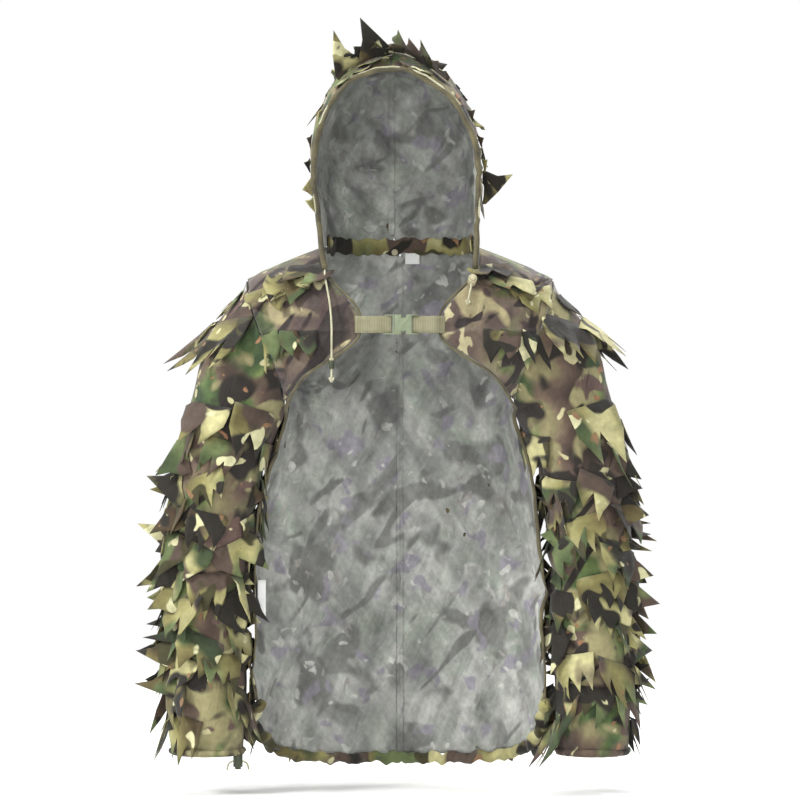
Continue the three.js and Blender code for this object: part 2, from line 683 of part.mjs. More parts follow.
const railGap = strapWidth / 2 + gap;
function aroundStrap(fromX, toX, depthHalf, heightHalf) {
  const low = [fromX, strapY - depthHalf, strapHeight - heightHalf];
  const high = [toX, strapY + depthHalf, strapHeight + heightHalf];
  return block(low, high);
}
function slot(fromX, toX) {
  return aroundStrap(fromX, toX, 20, railGap);
}
const bodyHalf = 4.2;            // half the thickness of the buckle's body
const cavityHalf = 2.4;
const prongHalf = 2;
const cavityEnd = 15;
const windowFrom = 2;
const windowTo = 9;
add('buckle_female', joined(
  aroundStrap(buckleMouth, femaleEnd, bodyHalf, 14.5),
  [],
  [
    aroundStrap(buckleMouth - 1, cavityEnd, cavityHalf, 11.6),
    block([windowFrom, strapY - 20, strapHeight + 9.4], [windowTo, strapY + 20, strapHeight + 15]),
    block([windowFrom, strapY - 20, strapHeight - 15], [windowTo, strapY + 20, strapHeight - 9.4]),
    slot(cavityEnd + 2, femaleBar.from),
    slot(femaleBar.to, femaleEnd - 2),
    block([femaleBar.from - 0.1, strapY - 20, strapHeight - railGap],
      [femaleEnd + 1, strapY - barThickness / 2, strapHeight + railGap]),
    block([femaleBar.from - 0.1, strapY + barThickness / 2, strapHeight - railGap],
      [femaleEnd + 1, strapY + 20, strapHeight + railGap]),
  ],
), bucklePlastic);

const maleFace = buckleMouth - gap;
const prongTip = 12;
const sideProngHeight = 9.2;
const sideProng = (height) => block(
  [maleFace - 1, strapY - prongHalf, height - 1.6],
  [prongTip, strapY + prongHalf, height + 1.6],
);
add('buckle_male', joined(
  aroundStrap(ladderEnd, maleFace, 2.6, 14.5),
  [
    aroundStrap(maleFace - 1, prongTip - 4, prongHalf, 1.8),
    sideProng(strapHeight + sideProngHeight),
    sideProng(strapHeight - sideProngHeight),
  ],
  [
    slot(ladderEnd + 2.2, ladderBar.from),
    slot(ladderBar.to, ladderBar.to + 3.4),
    block([ladderEnd - 1, strapY - 20, strapHeight - railGap],
      [ladderBar.to + 0.1, strapY - barThickness / 2, strapHeight + railGap]),
    block([ladderEnd - 1, strapY + barThickness / 2, strapHeight - railGap],
      [ladderBar.to + 0.1, strapY + 20, strapHeight + railGap]),
  ],
), bucklePlastic);

// ---- Drawcord tails ----
// Each tail leaves the end of the rim casing and hangs in front of the yoke.
const at = (x, y, z) => new THREE.Vector3(x, y, z);
const exitDrop = 0.7;
function tailStart(end, next) {
  const out = end.clone().sub(next).normalize();
  return [end.clone().addScaledVector(out, exitDrop), end.clone().addScaledVector(out, exitDrop + 3)];
}
const rightHang = { x: -100, y: -126.5, top: -112, bottom: -184 };
const rightTail = [
  ...tailStart(rimPath[0], rimPath[1]),
  at(-110.8, -87, -33), at(-109.5, -93, -41), at(-106.5, -103, -56), at(-103, -114, -76),
  at(-101, -122, -94), at(rightHang.x, rightHang.y, rightHang.top), at(rightHang.x, rightHang.y, -124),
  at(rightHang.x, rightHang.y, -140), at(rightHang.x, rightHang.y, -162),
  at(rightHang.x, rightHang.y, rightHang.bottom),
];
const leftRunTop = at(108, -97, -33);
const leftRunEnd = at(100, -113, -71);
const leftRun = leftRunEnd.clone().sub(leftRunTop).normalize();
const alongLeftRun = (distance) => leftRunTop.clone().addScaledVector(leftRun, distance);
const leftTail = [
  ...tailStart(rimPath[rimPath.length - 1], rimPath[rimPath.length - 2]),
  at(110.3, -87, -29.2), at(109, -92.5, -29.5),
  alongLeftRun(2), alongLeftRun(12), alongLeftRun(22), alongLeftRun(32), leftRunEnd,
];
add('drawcord_tail_right', bar(rightTail, cordRadius, 30, 4), cordCloth);
add('drawcord_tail_left', bar(leftTail, cordRadius, 14, 4), cordCloth);

// ---- Knots, the barrel stop and its bead ----
const knotRadius = 3.1;
function knot(end, out) {
  const geometry = new THREE.SphereGeometry(knotRadius, 10, 7);
  return geometry.translate(...end.clone().addScaledVector(out, knotRadius + gap).toArray());
}
add('cord_end_right', knot(rightTail[rightTail.length - 1], at(0, 0, -1)), cordCloth);
add('cord_end_left', knot(leftRunEnd, leftRun), cordCloth);

const cordHole = cordRadius + 0.4;
const barrelRadius = 3.9;
const barrelHeight = 12;
const beadHeight = 4;
const barrelTop = -160;
const rightCord = (z) => [rightHang.x, rightHang.y, z];
function threaded(middle, radius, height) {
  const bore = rod(rightCord(middle), cordHole, height + 2, 'z', 12);
  return joined(rod(rightCord(middle), radius, height, 'z', 16), [], [bore]);
}
add('cord_barrel_right', threaded(barrelTop - barrelHeight / 2, barrelRadius, barrelHeight), lockPlastic);
const beadCentre = barrelTop + gap + beadHeight / 2;
add('cord_bead_right', threaded(beadCentre, barrelRadius - 0.3, beadHeight), studPlastic);

// ---- Spring locks: a body, a push button with a slot for the cord, and a spring behind it ----
// Made with the cord along Z through the origin and the button facing -Y, then turned and placed.
const lockTravel = 2.5;
function springLock(size, place) {
  const radius = 6.5 * size;
  const front = -7 * size;
  const bore = 4.4 * size;
  const wall = 1.3 * size;
  const springLength = 2 * size;
  const buttonRadius = bore - 0.3;
  const buttonBack = cordHole + 1.2;
  const buttonFront = front - lockTravel - 1.2;
  const cavityBack = buttonBack + lockTravel + gap + springLength + gap;
  const between = (from, to) => [0, (from + to) / 2, 0];
  const cross = rod([0, 0, 0], cordHole, 4 * radius, 'z', 12);
  const body = joined(
    rod(between(front, cavityBack + wall), radius, cavityBack + wall - front, 'y', 20),
    [],
    [rod(between(front - 1, cavityBack), bore, cavityBack - front + 1, 'y', 16), cross],
  );
  const button = joined(
    rod(between(buttonFront, buttonBack), buttonRadius, buttonBack - buttonFront, 'y', 16),
    [],
    [block([-cordHole, -cordHole - lockTravel, -radius], [cordHole, cordHole, radius])],
  );
  const wire = 0.25;
  const turns = 2.25;
  const coil = spread(28, 0, 1).map((t) => {
    const angle = t * turns * Math.PI * 2;
    const y = cavityBack - gap - wire - (springLength - 2 * wire) * (1 - t);
    return at((buttonRadius - 1.1) * Math.cos(angle), y, (buttonRadius - 1.1) * Math.sin(angle));
  });
  const spring = bar(coil, wire, 32, 3);
  return [body, button, spring].map((geometry) => geometry.applyMatrix4(place));
}

const leftLockAt = alongLeftRun(9);
const lockUp = leftRun.clone().negate();
const lockBack = at(0, 1, 0).addScaledVector(lockUp, -lockUp.y).normalize();
const lockAcross = lockBack.clone().cross(lockUp);
const leftPlace = new THREE.Matrix4().makeBasis(lockAcross, lockBack, lockUp).setPosition(leftLockAt);
const [leftBody, leftButton, leftSpring] = springLock(1, leftPlace);
add('cord_lock_left', leftBody, studPlastic);
add('lock_button_left', leftButton, studPlastic);
add('lock_spring_left', leftSpring, springSteel);

const cuffLockSize = 1.1;
const cuffLockTurn = 0.45;       // round the cuff from its inner side to the front
const cuffRing = sleevePoint(RIGHT, 1, Math.PI + cuffLockTurn);
const cuffLockBack = cordHole + 1.2 + lockTravel + 2 * gap + 3.3 * cuffLockSize;
const cuffCordZ = cuffHeight - 2 * cuffRadius - 2 * gap - 0.3 - cuffLockBack;
const cuffPlace = new THREE.Matrix4().makeBasis(at(0, 1, 0), at(0, 0, 1), at(1, 0, 0))
  .setPosition(cuffRing.x, cuffRing.y, cuffCordZ);
const [cuffBody, cuffButton, cuffSpring] = springLock(cuffLockSize, cuffPlace);
add('cuff_lock', cuffBody, lockPlastic);
add('cuff_lock_button', cuffButton, lockPlastic);
add('cuff_lock_spring', cuffSpring, springSteel);
const cuffTail = [
  [-16, -13], [-15.4, -8], [-13, -2.6], [-9, 0], [0, 0], [9, 0], [13, -2.6], [15.4, -8], [16, -12],
].map(([x, drop]) => at(cuffRing.x + x, cuffRing.y, cuffCordZ + drop));
add('cuff_cord', bar(cuffTail, cordRadius, 20, 4), cordCloth);

export default jacket;
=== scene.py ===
# %% [markdown]
# # A leafy camouflage jacket
# This notebook dresses the fixed frame of a hooded, open-fronted ghillie jacket. The frame gives
# every piece its place and its body. Each cell adds one kind of piece or finish: cords first, then
# the cloth, the sewn leaves and the small hardware.

# %% Load the fixed frame
import math
import random

import bmesh
import bpy
from mathutils import Matrix, Vector, noise
from mathutils.bvhtree import BVHTree


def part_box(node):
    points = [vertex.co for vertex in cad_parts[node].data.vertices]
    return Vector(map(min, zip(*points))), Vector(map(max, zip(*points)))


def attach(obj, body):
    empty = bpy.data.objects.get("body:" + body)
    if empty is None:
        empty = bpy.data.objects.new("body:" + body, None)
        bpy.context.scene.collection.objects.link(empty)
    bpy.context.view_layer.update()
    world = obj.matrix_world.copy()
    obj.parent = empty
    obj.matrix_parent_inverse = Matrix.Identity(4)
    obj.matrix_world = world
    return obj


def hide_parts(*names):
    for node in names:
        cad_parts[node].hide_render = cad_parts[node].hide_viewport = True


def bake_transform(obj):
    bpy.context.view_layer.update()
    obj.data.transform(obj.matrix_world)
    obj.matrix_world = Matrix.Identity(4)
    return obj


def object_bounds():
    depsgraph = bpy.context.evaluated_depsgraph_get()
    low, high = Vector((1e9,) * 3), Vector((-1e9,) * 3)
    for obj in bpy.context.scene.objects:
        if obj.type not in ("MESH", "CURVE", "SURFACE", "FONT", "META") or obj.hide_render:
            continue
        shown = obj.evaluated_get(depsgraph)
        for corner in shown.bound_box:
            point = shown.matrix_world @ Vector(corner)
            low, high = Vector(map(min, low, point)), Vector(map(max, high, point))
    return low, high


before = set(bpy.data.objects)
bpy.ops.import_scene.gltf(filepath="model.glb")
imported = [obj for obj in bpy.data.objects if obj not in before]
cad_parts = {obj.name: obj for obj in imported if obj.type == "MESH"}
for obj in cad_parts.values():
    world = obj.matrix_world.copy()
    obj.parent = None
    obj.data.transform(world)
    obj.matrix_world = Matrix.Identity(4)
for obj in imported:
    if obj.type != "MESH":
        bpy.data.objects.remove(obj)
cad_low, cad_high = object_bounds()
print("frame box", [round(v, 3) for v in (*cad_low, *cad_high)])

# %% [markdown]
# ## Camera
# The jacket is seen straight from the front, from far enough away that its sides hardly converge.
# A long lens five metres off gives that flat, catalogue-like view. The camera is lower than the
# middle of the neck because the jacket hangs down from it.

# %% Camera
VIEW_WIDTH = 1.2
VIEW_DISTANCE = 5.0
VIEW_HEIGHT = -0.2175
camera_data = bpy.data.cameras.new("camera")
camera_data.sensor_width = 36
camera_data.lens = camera_data.sensor_width * VIEW_DISTANCE / VIEW_WIDTH
camera = bpy.data.objects.new("camera", camera_data)
camera.location = (0, -VIEW_DISTANCE, VIEW_HEIGHT)
camera.rotation_euler = (math.pi / 2, 0, 0)
bpy.context.collection.objects.link(camera)
bpy.context.scene.camera = camera
print("lens", round(camera_data.lens, 1), "mm")

# %% [markdown]
# ## Light and floor
# Soft light from all round shows cloth without hard shadows, but folds need a direction. So the
# world is white to look at and lights at half strength. A key lamp high on the left shapes the
# folds, a front lamp reaches into the hood, a weak one fills the right side, one stands behind, and
# one overhead brightens the floor. The floor is a plain pale disc just under the lowest leaf.

# %% Light and floor
FLOOR_GAP = 0.035
FLOOR_RADIUS = 2.3
FLOOR_SIDES = 64
WORLD_LIGHT = 0.5


def area_lamp(name, place, target, size, power):
    """A square soft lamp that points at the target."""
    data = bpy.data.lights.new(name, "AREA")
    data.size = size
    data.energy = power
    lamp = bpy.data.objects.new(name, data)
    lamp.location = place
    lamp.rotation_euler = (Vector(target) - Vector(place)).to_track_quat("-Z", "Y").to_euler()
    bpy.context.collection.objects.link(lamp)


middle = (Vector(cad_low) + Vector(cad_high)) / 2
area_lamp("key_lamp", (-3.3, -1.7, 2.0), middle, 0.9, 150)
area_lamp("front_lamp", (-1.0, -4.4, 0.8), middle, 1.4, 70)
area_lamp("fill_lamp", (2.8, -2.8, 0.6), middle, 2.0, 22)
area_lamp("back_lamp", (2.2, 3.0, 2.0), middle, 1.8, 100)
area_lamp("floor_lamp", (0, 0, 3.2), (0, 0, 0), 4.0, 150)
world = bpy.data.worlds.new("studio")
bpy.context.scene.world = world
world.use_nodes = True
world_tree = world.node_tree
background = world_tree.nodes["Background"]
background.inputs["Color"].default_value = (1, 1, 1, 1)
seen = world_tree.nodes.new("ShaderNodeLightPath")
level = world_tree.nodes.new("ShaderNodeMapRange")
level.inputs["To Min"].default_value = WORLD_LIGHT
level.inputs["To Max"].default_value = 1.0
world_tree.links.new(seen.outputs["Is Camera Ray"], level.inputs["Value"])
world_tree.links.new(level.outputs[0], background.inputs["Strength"])
bpy.context.scene.view_settings.view_transform = "Standard"

floor_shape = bmesh.new()
bmesh.ops.create_circle(floor_shape, cap_ends=True, segments=FLOOR_SIDES, radius=FLOOR_RADIUS)
bmesh.ops.translate(floor_shape, verts=floor_shape.verts, vec=(0, 0, cad_low[2] - FLOOR_GAP))
floor_mesh = bpy.data.meshes.new("floor")
floor_shape.to_mesh(floor_mesh)
floor_shape.free()
floor = bpy.data.objects.new("floor", floor_mesh)
bpy.context.collection.objects.link(floor)
print("lamps", len(bpy.data.lights))

# %% [markdown]
# ## Helpers for finishes
# Colours are written as the hex values of a paint chart and turned to linear light once, here. One
# helper adds any shader node with its settings and its links, so a finish reads from top to bottom.


# %% Helpers for finishes
def tinted(code):
    """An sRGB hex colour as linear red, green, blue and alpha."""
    parts = [int(code[i:i + 2], 16) / 255 for i in (1, 3, 5)]
    linear = [c / 12.92 if c <= 0.04045 else ((c + 0.055) / 1.055) ** 2.4 for c in parts]
    return (*linear, 1.0)


def add_node(tree, kind, sockets=None, **settings):
    """Adds one shader node, sets its settings, and fills its sockets with values or links."""
    made = tree.nodes.new("ShaderNode" + kind)
    for name, value in settings.items():
        setattr(made, name, value)
    for socket, value in (sockets or {}).items():
        if isinstance(value, bpy.types.NodeSocket):
            tree.links.new(value, made.inputs[socket])
        else:
            made.inputs[socket].default_value = value
    return made


def blank_finish(name):
    """A new material with an empty tree, its shader and its output."""
    finish = bpy.data.materials.new(name)
    finish.use_nodes = True
    tree = finish.node_tree
    tree.nodes.clear()
    shader = add_node(tree, "BsdfPrincipled")
    add_node(tree, "OutputMaterial", {"Surface": shader.outputs[0]})
    return finish, tree, shader


def set_stops(ramp, stops):
    """Fills a colour ramp with (place, hex) stops."""
    ramp.color_ramp.elements[1].position = stops[-1][0]
    ramp.color_ramp.elements[1].color = tinted(stops[-1][1])
    ramp.color_ramp.elements[0].position = stops[0][0]
    ramp.color_ramp.elements[0].color = tinted(stops[0][1])
    for place, code in stops[1:-1]:
        ramp.color_ramp.elements.new(place).color = tinted(code)


FACTOR, FIRST, SECOND = 0, 6, 7


def laid_over(tree, below, above, share, way="MIX"):
    """The colour of one layer of print over another."""
    mixer = add_node(tree, "Mix", {FACTOR: share, FIRST: below, SECOND: above},
                     data_type="RGBA", blend_type=way)
    return mixer.outputs[2]


def drifting_colour(tree, place, scale, detail, stops):
    """A noise field over the piece, and the colour ramp it runs through."""
    drift = add_node(tree, "TexNoise", {"Vector": place, "Scale": scale, "Detail": detail})
    ramp = add_node(tree, "ValToRGB", {0: drift.outputs[0]})
    set_stops(ramp, stops)
    return drift.outputs[0], ramp.outputs[0]


def shaded(tree, colour, field, darkest, lightest, low=0.0, high=1.0):
    """A colour made darker and lighter by a field: uneven wear, and painted shade and highlight
    along rib grooves and folds.
    """
    level = add_node(tree, "MapRange", {"Value": field, "From Min": low, "From Max": high,
                                        "To Min": darkest, "To Max": lightest})
    grey = add_node(tree, "CombineColor", {i: level.outputs[0] for i in range(3)})
    return laid_over(tree, colour, grey.outputs[0], 1.0, "MULTIPLY")


def patch_mask(tree, place, size_mm, edge, soft, shift, wander=0.4):
    """One where a patch of print of about this size is, and zero round it."""
    moved = add_node(tree, "VectorMath", {0: place, 1: shift}, operation="ADD")
    field = add_node(tree, "TexNoise", {"Vector": moved.outputs[0], "Scale": 1000 / size_mm,
                                        "Detail": 1.6, "Roughness": 0.45, "Distortion": wander})
    mask = add_node(tree, "MapRange", {"Value": field.outputs[0], "From Min": edge - soft,
                                       "From Max": edge + soft})
    return mask.outputs[0]


print("helpers for finishes ready")

# %% [markdown]
# ## Printed mesh
# The cloth is a light polyester mesh, roller-printed with a woodland pattern: a ground that drifts
# from umber to taupe, large soft green areas, branch-like dark strokes, pale blotches, and small
# pale and rust spots. Each layer of ink is one noise field cut off at a level. Slanting streaks
# along the folds are painted highlight and painted shade: they make the ink lighter and darker,
# and help the real folds to show. The pattern reads the attribute print_place, the point's place
# on the cloth as it was cut, so it stays with the cloth when a joint moves.


# %% Printed mesh
WAVE_PERIOD = 2 * math.pi / 20


def woven_bump(tree, place, thread_mm, crumple_mm):
    """The relief of a plain weave, two sets of crossing threads, on thin cloth that crumples."""
    waves_each_metre = 1000 / thread_mm
    heights = []
    for axis in ("X", "Z", "Y"):
        wave = add_node(tree, "TexWave", {"Vector": place, "Distortion": 0.6, "Detail": 1.0,
                                          "Scale": waves_each_metre * WAVE_PERIOD},
                        bands_direction=axis)
        heights.append(wave.outputs["Fac"])
    crossed = add_node(tree, "Math", {0: heights[0], 1: heights[1]}, operation="MULTIPLY")
    total = add_node(tree, "Math", {0: crossed.outputs[0], 1: heights[2]}, operation="ADD")
    weave = add_node(tree, "Bump", {"Height": total.outputs[0], "Strength": 0.35,
                                    "Distance": 0.00035})
    drawn = add_node(tree, "Mapping", {"Vector": place, "Rotation": (0.0, 0.5, 0.0),
                                       "Scale": (1.0, 1.0, 2.5)}, vector_type="TEXTURE")
    crease_relief_and_painted_light = add_node(tree, "TexNoise", {"Vector": drawn.outputs[0], "Scale": 34, "Detail": 4.0,
                                          "Roughness": 0.6, "Distortion": 0.8})
    return add_node(tree, "Bump", {"Height": crease_relief_and_painted_light.outputs[0], "Strength": 0.9,
                                   "Distance": crumple_mm / 1000,
                                   "Normal": weave.outputs[0]}).outputs[0]


def print_finish(name, inks, thread_mm=1.6, roughness=0.82, sheen=0.12, scale=1.0, soft=0.03,
                 crumple_mm=4.0, crease_relief_and_painted_light=0.12):
    """Printed polyester: dull, a little sheen along the threads, ink a shade uneven."""
    finish, tree, shader = blank_finish(name)
    place = add_node(tree, "Attribute", attribute_name="print_place").outputs["Vector"]
    _, colour = drifting_colour(tree, place, 13 / scale, 1.0, inks["ground"])
    _, green = drifting_colour(tree, place, 21 / scale, 1.0, inks["green"])
    # ink, size of its patches in mm, level it starts at, softness of its edge, shift of its noise
    layers = [
        (green, 85, inks["green_edge"], soft * 1.3, (3.1, 0.4, 1.7)),
        (tinted(inks["blotch"]), 62, 0.585, soft, (0.3, 7.7, 4.1)),
        (tinted(inks["dark"]), 74, 0.6, soft * 0.8, (5.9, 2.2, 9.4)),
        (tinted(inks["shade"]), 40, 0.635, soft * 0.7, (1.9, 5.2, 3.4)),
        (tinted(inks["light"]), 27, 0.665, soft * 0.5, (8.8, 1.4, 0.6)),
        (tinted(inks["rust"]), 24, 0.7, soft * 0.5, (2.6, 6.1, 8.2)),
    ]
    for ink, size_mm, edge, softness, shift in layers:
        mask = patch_mask(tree, place, size_mm * scale, edge, softness, shift)
        colour = laid_over(tree, colour, ink, mask)
    turned = add_node(tree, "Mapping", {"Vector": place, "Rotation": (0.5, 0.6, 0.4),
                                        "Scale": (1.0, 1.0, 3.6)}, vector_type="TEXTURE")
    branches = patch_mask(tree, turned.outputs[0], 42 * scale, inks["branch_edge"], soft * 0.7,
                          (4.4, 8.3, 2.9), 0.9)
    colour = laid_over(tree, colour, tinted(inks["dark"]), branches)
    worn = add_node(tree, "TexNoise", {"Vector": place, "Scale": 120, "Detail": 3.0})
    colour = shaded(tree, colour, worn.outputs[0], 0.86, 1.1, 0.3, 0.7)
    # Painted highlight and painted shade: slanting streaks along the folds lighten and darken the
    # ink.
    for angle, shift in ((-0.6, 2.0), (0.35, 7.0)):
        fold_light_place = add_node(tree, "Mapping", {"Vector": place, "Rotation": (0.0, angle, 0.0),
                                            "Location": (shift, 0.0, 0.0),
                                            "Scale": (1.0, 1.0, 7.0)}, vector_type="TEXTURE")
        painted_fold_light = add_node(tree, "TexNoise", {"Vector": fold_light_place.outputs[0], "Scale": 38,
                                           "Detail": 3.0, "Roughness": 0.6})
        colour = shaded(tree, colour, painted_fold_light.outputs[0], 1 - crease_relief_and_painted_light, 1 + crease_relief_and_painted_light * 0.8, 0.32, 0.68)
    tree.links.new(colour, shader.inputs["Base Color"])
    shader.inputs["Roughness"].default_value = roughness
    shader.inputs["Sheen Weight"].default_value = sheen
    shader.inputs["Sheen Roughness"].default_value = 0.5
    shader.inputs["Specular IOR Level"].default_value = 0.25
    tree.links.new(woven_bump(tree, place, thread_mm, crumple_mm), shader.inputs["Normal"])
    return finish


BODY_INKS = {
    "ground": [(0.3, "#352C26"), (0.42, "#4F4139"), (0.52, "#655648"), (0.62, "#7A7354")],
    "green": [(0.35, "#33422A"), (0.5, "#4B5D37"), (0.65, "#6A7848")],
    "green_edge": 0.55, "blotch": "#8A8460", "dark": "#292420", "shade": "#5C4A44",
    "light": "#B4AE86", "rust": "#8C684C", "branch_edge": 0.62,
}
SHEER_INKS = {
    "ground": [(0.3, "#3B322F"), (0.42, "#51443E"), (0.55, "#6A5C4E"), (0.68, "#857F62")],
    "green": [(0.35, "#3D482C"), (0.5, "#56613C"), (0.65, "#767C4E")],
    "green_edge": 0.56, "blotch": "#948A68", "dark": "#2C2422", "shade": "#4A3B38",
    "light": "#ABA37F", "rust": "#7E6450", "branch_edge": 0.6,
}
LEAF_INKS = {
    "ground": [(0.34, "#453828"), (0.43, "#655D3A"), (0.52, "#868152"), (0.64, "#B4AF80")],
    "green": [(0.35, "#323C28"), (0.5, "#4A5737"), (0.65, "#69744C")],
    "green_edge": 0.54, "blotch": "#51443B", "dark": "#26231D", "shade": "#3E3B25",
    "light": "#C4C198", "rust": "#84674A", "branch_edge": 0.6,
}
LINING_INKS = {
    "ground": [(0.3, "#858782"), (0.42, "#8F918C"), (0.54, "#989A94"), (0.66, "#A4A5A0")],
    "green": [(0.35, "#868C84"), (0.5, "#8E948B"), (0.65, "#979C93")],
    "green_edge": 0.56, "blotch": "#9FA09B", "dark": "#72736F", "shade": "#86838A",
    "light": "#ADAEA8", "rust": "#908D88", "branch_edge": 0.64,
}
printed_mesh = print_finish("printed_polyester_mesh", BODY_INKS)
yoke_mesh = print_finish("sheer_printed_mesh", SHEER_INKS, thread_mm=1.3, roughness=0.7, sheen=0.25)
leaf_cloth = print_finish("printed_leaf_ripstop", LEAF_INKS, thread_mm=1.2, scale=1.5, soft=0.018,
                          crumple_mm=2.0)
# The lining takes the strongest painted highlight and painted shade along its folds.
lining_mesh = print_finish("lining_side_of_print", LINING_INKS, thread_mm=2.0, scale=0.85,
                           soft=0.045, crumple_mm=9.0, crease_relief_and_painted_light=0.25)
print("printed finishes", len(bpy.data.materials))

# %% [markdown]
# ## Small finishes
# The tapes, webbing, plastic and cords are each one short material. Each starts from what the real
# one is made of: acetal for the buckle, polyamide for the webbing and cords, satin polyester for
# the labels and spring steel for the two lock springs.


# %% Small finishes
def woven_tape(name, codes, rib_mm, axis, roughness=0.75):
    """Narrow woven goods: rib relief with painted shade in the grooves and a faint painted
    highlight on the crests, and a colour that drifts a little along it.
    """
    finish, tree, shader = blank_finish(name)
    place = add_node(tree, "TexCoord").outputs["Object"]
    stops = [(0.3 + 0.4 * i / (len(codes) - 1), code) for i, code in enumerate(codes)]
    _, colour = drifting_colour(tree, place, 40, 3.0, stops)
    rib_relief_and_painted_shade = add_node(tree, "TexWave", {"Vector": place, "Scale": 1000 / rib_mm * WAVE_PERIOD,
                                      "Distortion": 0.3}, bands_direction=axis)
    # Painted shade: the colour is darker in the grooves between rib crests, and a little lighter on
    # the crests as painted highlight.
    colour = shaded(tree, colour, rib_relief_and_painted_shade.outputs["Fac"], 0.72, 1.06)
    tree.links.new(colour, shader.inputs["Base Color"])
    bump = add_node(tree, "Bump", {"Height": rib_relief_and_painted_shade.outputs["Fac"], "Strength": 0.6,
                                   "Distance": 0.0004})
    tree.links.new(bump.outputs[0], shader.inputs["Normal"])
    shader.inputs["Roughness"].default_value = roughness
    shader.inputs["Sheen Weight"].default_value = 0.15
    return finish


def moulded_plastic(name, codes, roughness):
    """Acetal from a spark-eroded mould: a fine even grain, soft highlights, and gloss that drifts a
    little.
    """
    finish, tree, shader = blank_finish(name)
    place = add_node(tree, "TexCoord").outputs["Object"]
    cloud, colour = drifting_colour(tree, place, 60, 3.0, [(0.35, codes[0]), (0.65, codes[1])])
    tree.links.new(colour, shader.inputs["Base Color"])
    grain = add_node(tree, "TexNoise", {"Vector": place, "Scale": 2500, "Detail": 2.0})
    bump = add_node(tree, "Bump", {"Height": grain.outputs[0], "Strength": 0.25,
                                   "Distance": 0.0001})
    tree.links.new(bump.outputs[0], shader.inputs["Normal"])
    gloss = add_node(tree, "MapRange", {"Value": cloud, "To Min": roughness - 0.08,
                                        "To Max": roughness + 0.08})
    tree.links.new(gloss.outputs[0], shader.inputs["Roughness"])
    shader.inputs["IOR"].default_value = 1.48
    return finish


def steel_wire(name):
    """Drawn spring wire: a bright grey metal with fine streaks."""
    finish, tree, shader = blank_finish(name)
    place = add_node(tree, "TexCoord").outputs["Object"]
    _, colour = drifting_colour(tree, place, 900, 2.0, [(0.3, "#8C8F92"), (0.7, "#B9BCBE")])
    tree.links.new(colour, shader.inputs["Base Color"])
    shader.inputs["Metallic"].default_value = 1.0
    shader.inputs["Roughness"].default_value = 0.32
    return finish


edge_tape = woven_tape("folded_polyester_binding", ["#3E3A28", "#585138", "#6B6446"], 2.4, "Z")
strap_webbing = woven_tape("polyamide_webbing", ["#757150", "#838062", "#928E72"], 2.5, "X", 0.65)
label_cloth = woven_tape("satin_label_cloth", ["#F0F1EE", "#F6F7F4", "#FBFBFA"], 1.2, "Z", 0.55)
elastic_braid = woven_tape("braided_elastic", ["#3D3F36", "#4C4E44"], 1.6, "X")
cord_braid = woven_tape("braided_polyamide_cord", ["#9A9878", "#B9B698", "#CBC8AC"], 2.4, "Z")
buckle_plastic = moulded_plastic("acetal_buckle", ["#707A60", "#7C866B"], 0.45)
lock_plastic = moulded_plastic("acetal_cord_lock", ["#2D3326", "#41482F"], 0.42)
bead_plastic = moulded_plastic("acetal_bead", ["#9A9276", "#B0A88A"], 0.5)
spring_steel = steel_wire("drawn_spring_steel")
print("finishes", len(bpy.data.materials))

# %% [markdown]
# ## Helpers for pieces
# A cloth piece starts as a copy of its frame solid: the loose triangles are merged and paired, the
# cut edges are creased so that they stay where they are, and two to four rounds of subdivision
# give enough points for wrinkles. Faces that look outwards take the printed side, and the rest the
# lining.


# %% Helpers for pieces
MERGE_DISTANCE = 0.00002
CREASE_ANGLE = 0.9
SHOULDER_LOW, SHOULDER_HIGH = -0.14, -0.03


def merged_copy(node):
    """A copy of a frame solid with its doubles merged and its triangles paired."""
    shape = bmesh.new()
    shape.from_mesh(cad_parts[node].data)
    bmesh.ops.remove_doubles(shape, verts=shape.verts, dist=MERGE_DISTANCE)
    bmesh.ops.join_triangles(shape, faces=shape.faces, angle_face_threshold=0.6,
                             angle_shape_threshold=math.pi)
    return shape


def new_piece(name, shape, body, finishes, stands_for):
    """Turns a bmesh into a piece that rides on a body and stands for frame nodes."""
    mesh = bpy.data.meshes.new(name)
    shape.to_mesh(mesh)
    shape.free()
    piece = bpy.data.objects.new(name, mesh)
    bpy.context.collection.objects.link(piece)
    for finish in finishes:
        mesh.materials.append(finish)
    mesh.shade_smooth()
    if body:
        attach(piece, body)
    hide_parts(*stands_for)
    return piece


def subdivided(shape, levels):
    """A smooth finer copy of a shape whose cut edges stay in place."""
    crease = shape.edges.layers.float.new("crease_edge")
    for edge in shape.edges:
        if len(edge.link_faces) == 2 and edge.calc_face_angle(0) > CREASE_ANGLE:
            edge[crease] = 1.0
    mesh = bpy.data.meshes.new("rough")
    shape.to_mesh(mesh)
    shape.free()
    rough = bpy.data.objects.new("rough", mesh)
    bpy.context.collection.objects.link(rough)
    finer = rough.modifiers.new("finer", "SUBSURF")
    finer.levels = finer.render_levels = levels
    depsgraph = bpy.context.evaluated_depsgraph_get()
    smooth = bmesh.new()
    smooth.from_mesh(rough.evaluated_get(depsgraph).to_mesh())
    bpy.data.objects.remove(rough)
    return smooth


def keep_print_place(shape):
    """Stores each point's place on the flat cloth, before any wrinkle moves it."""
    layer = shape.verts.layers.float_vector.new("print_place")
    for vert in shape.verts:
        vert[layer] = vert.co


def wrinkled(shape, outward, field):
    """Moves every point along the outward direction by the height of the wrinkle field there."""
    for vert in shape.verts:
        vert.co += outward(vert.co) * field(vert.co)


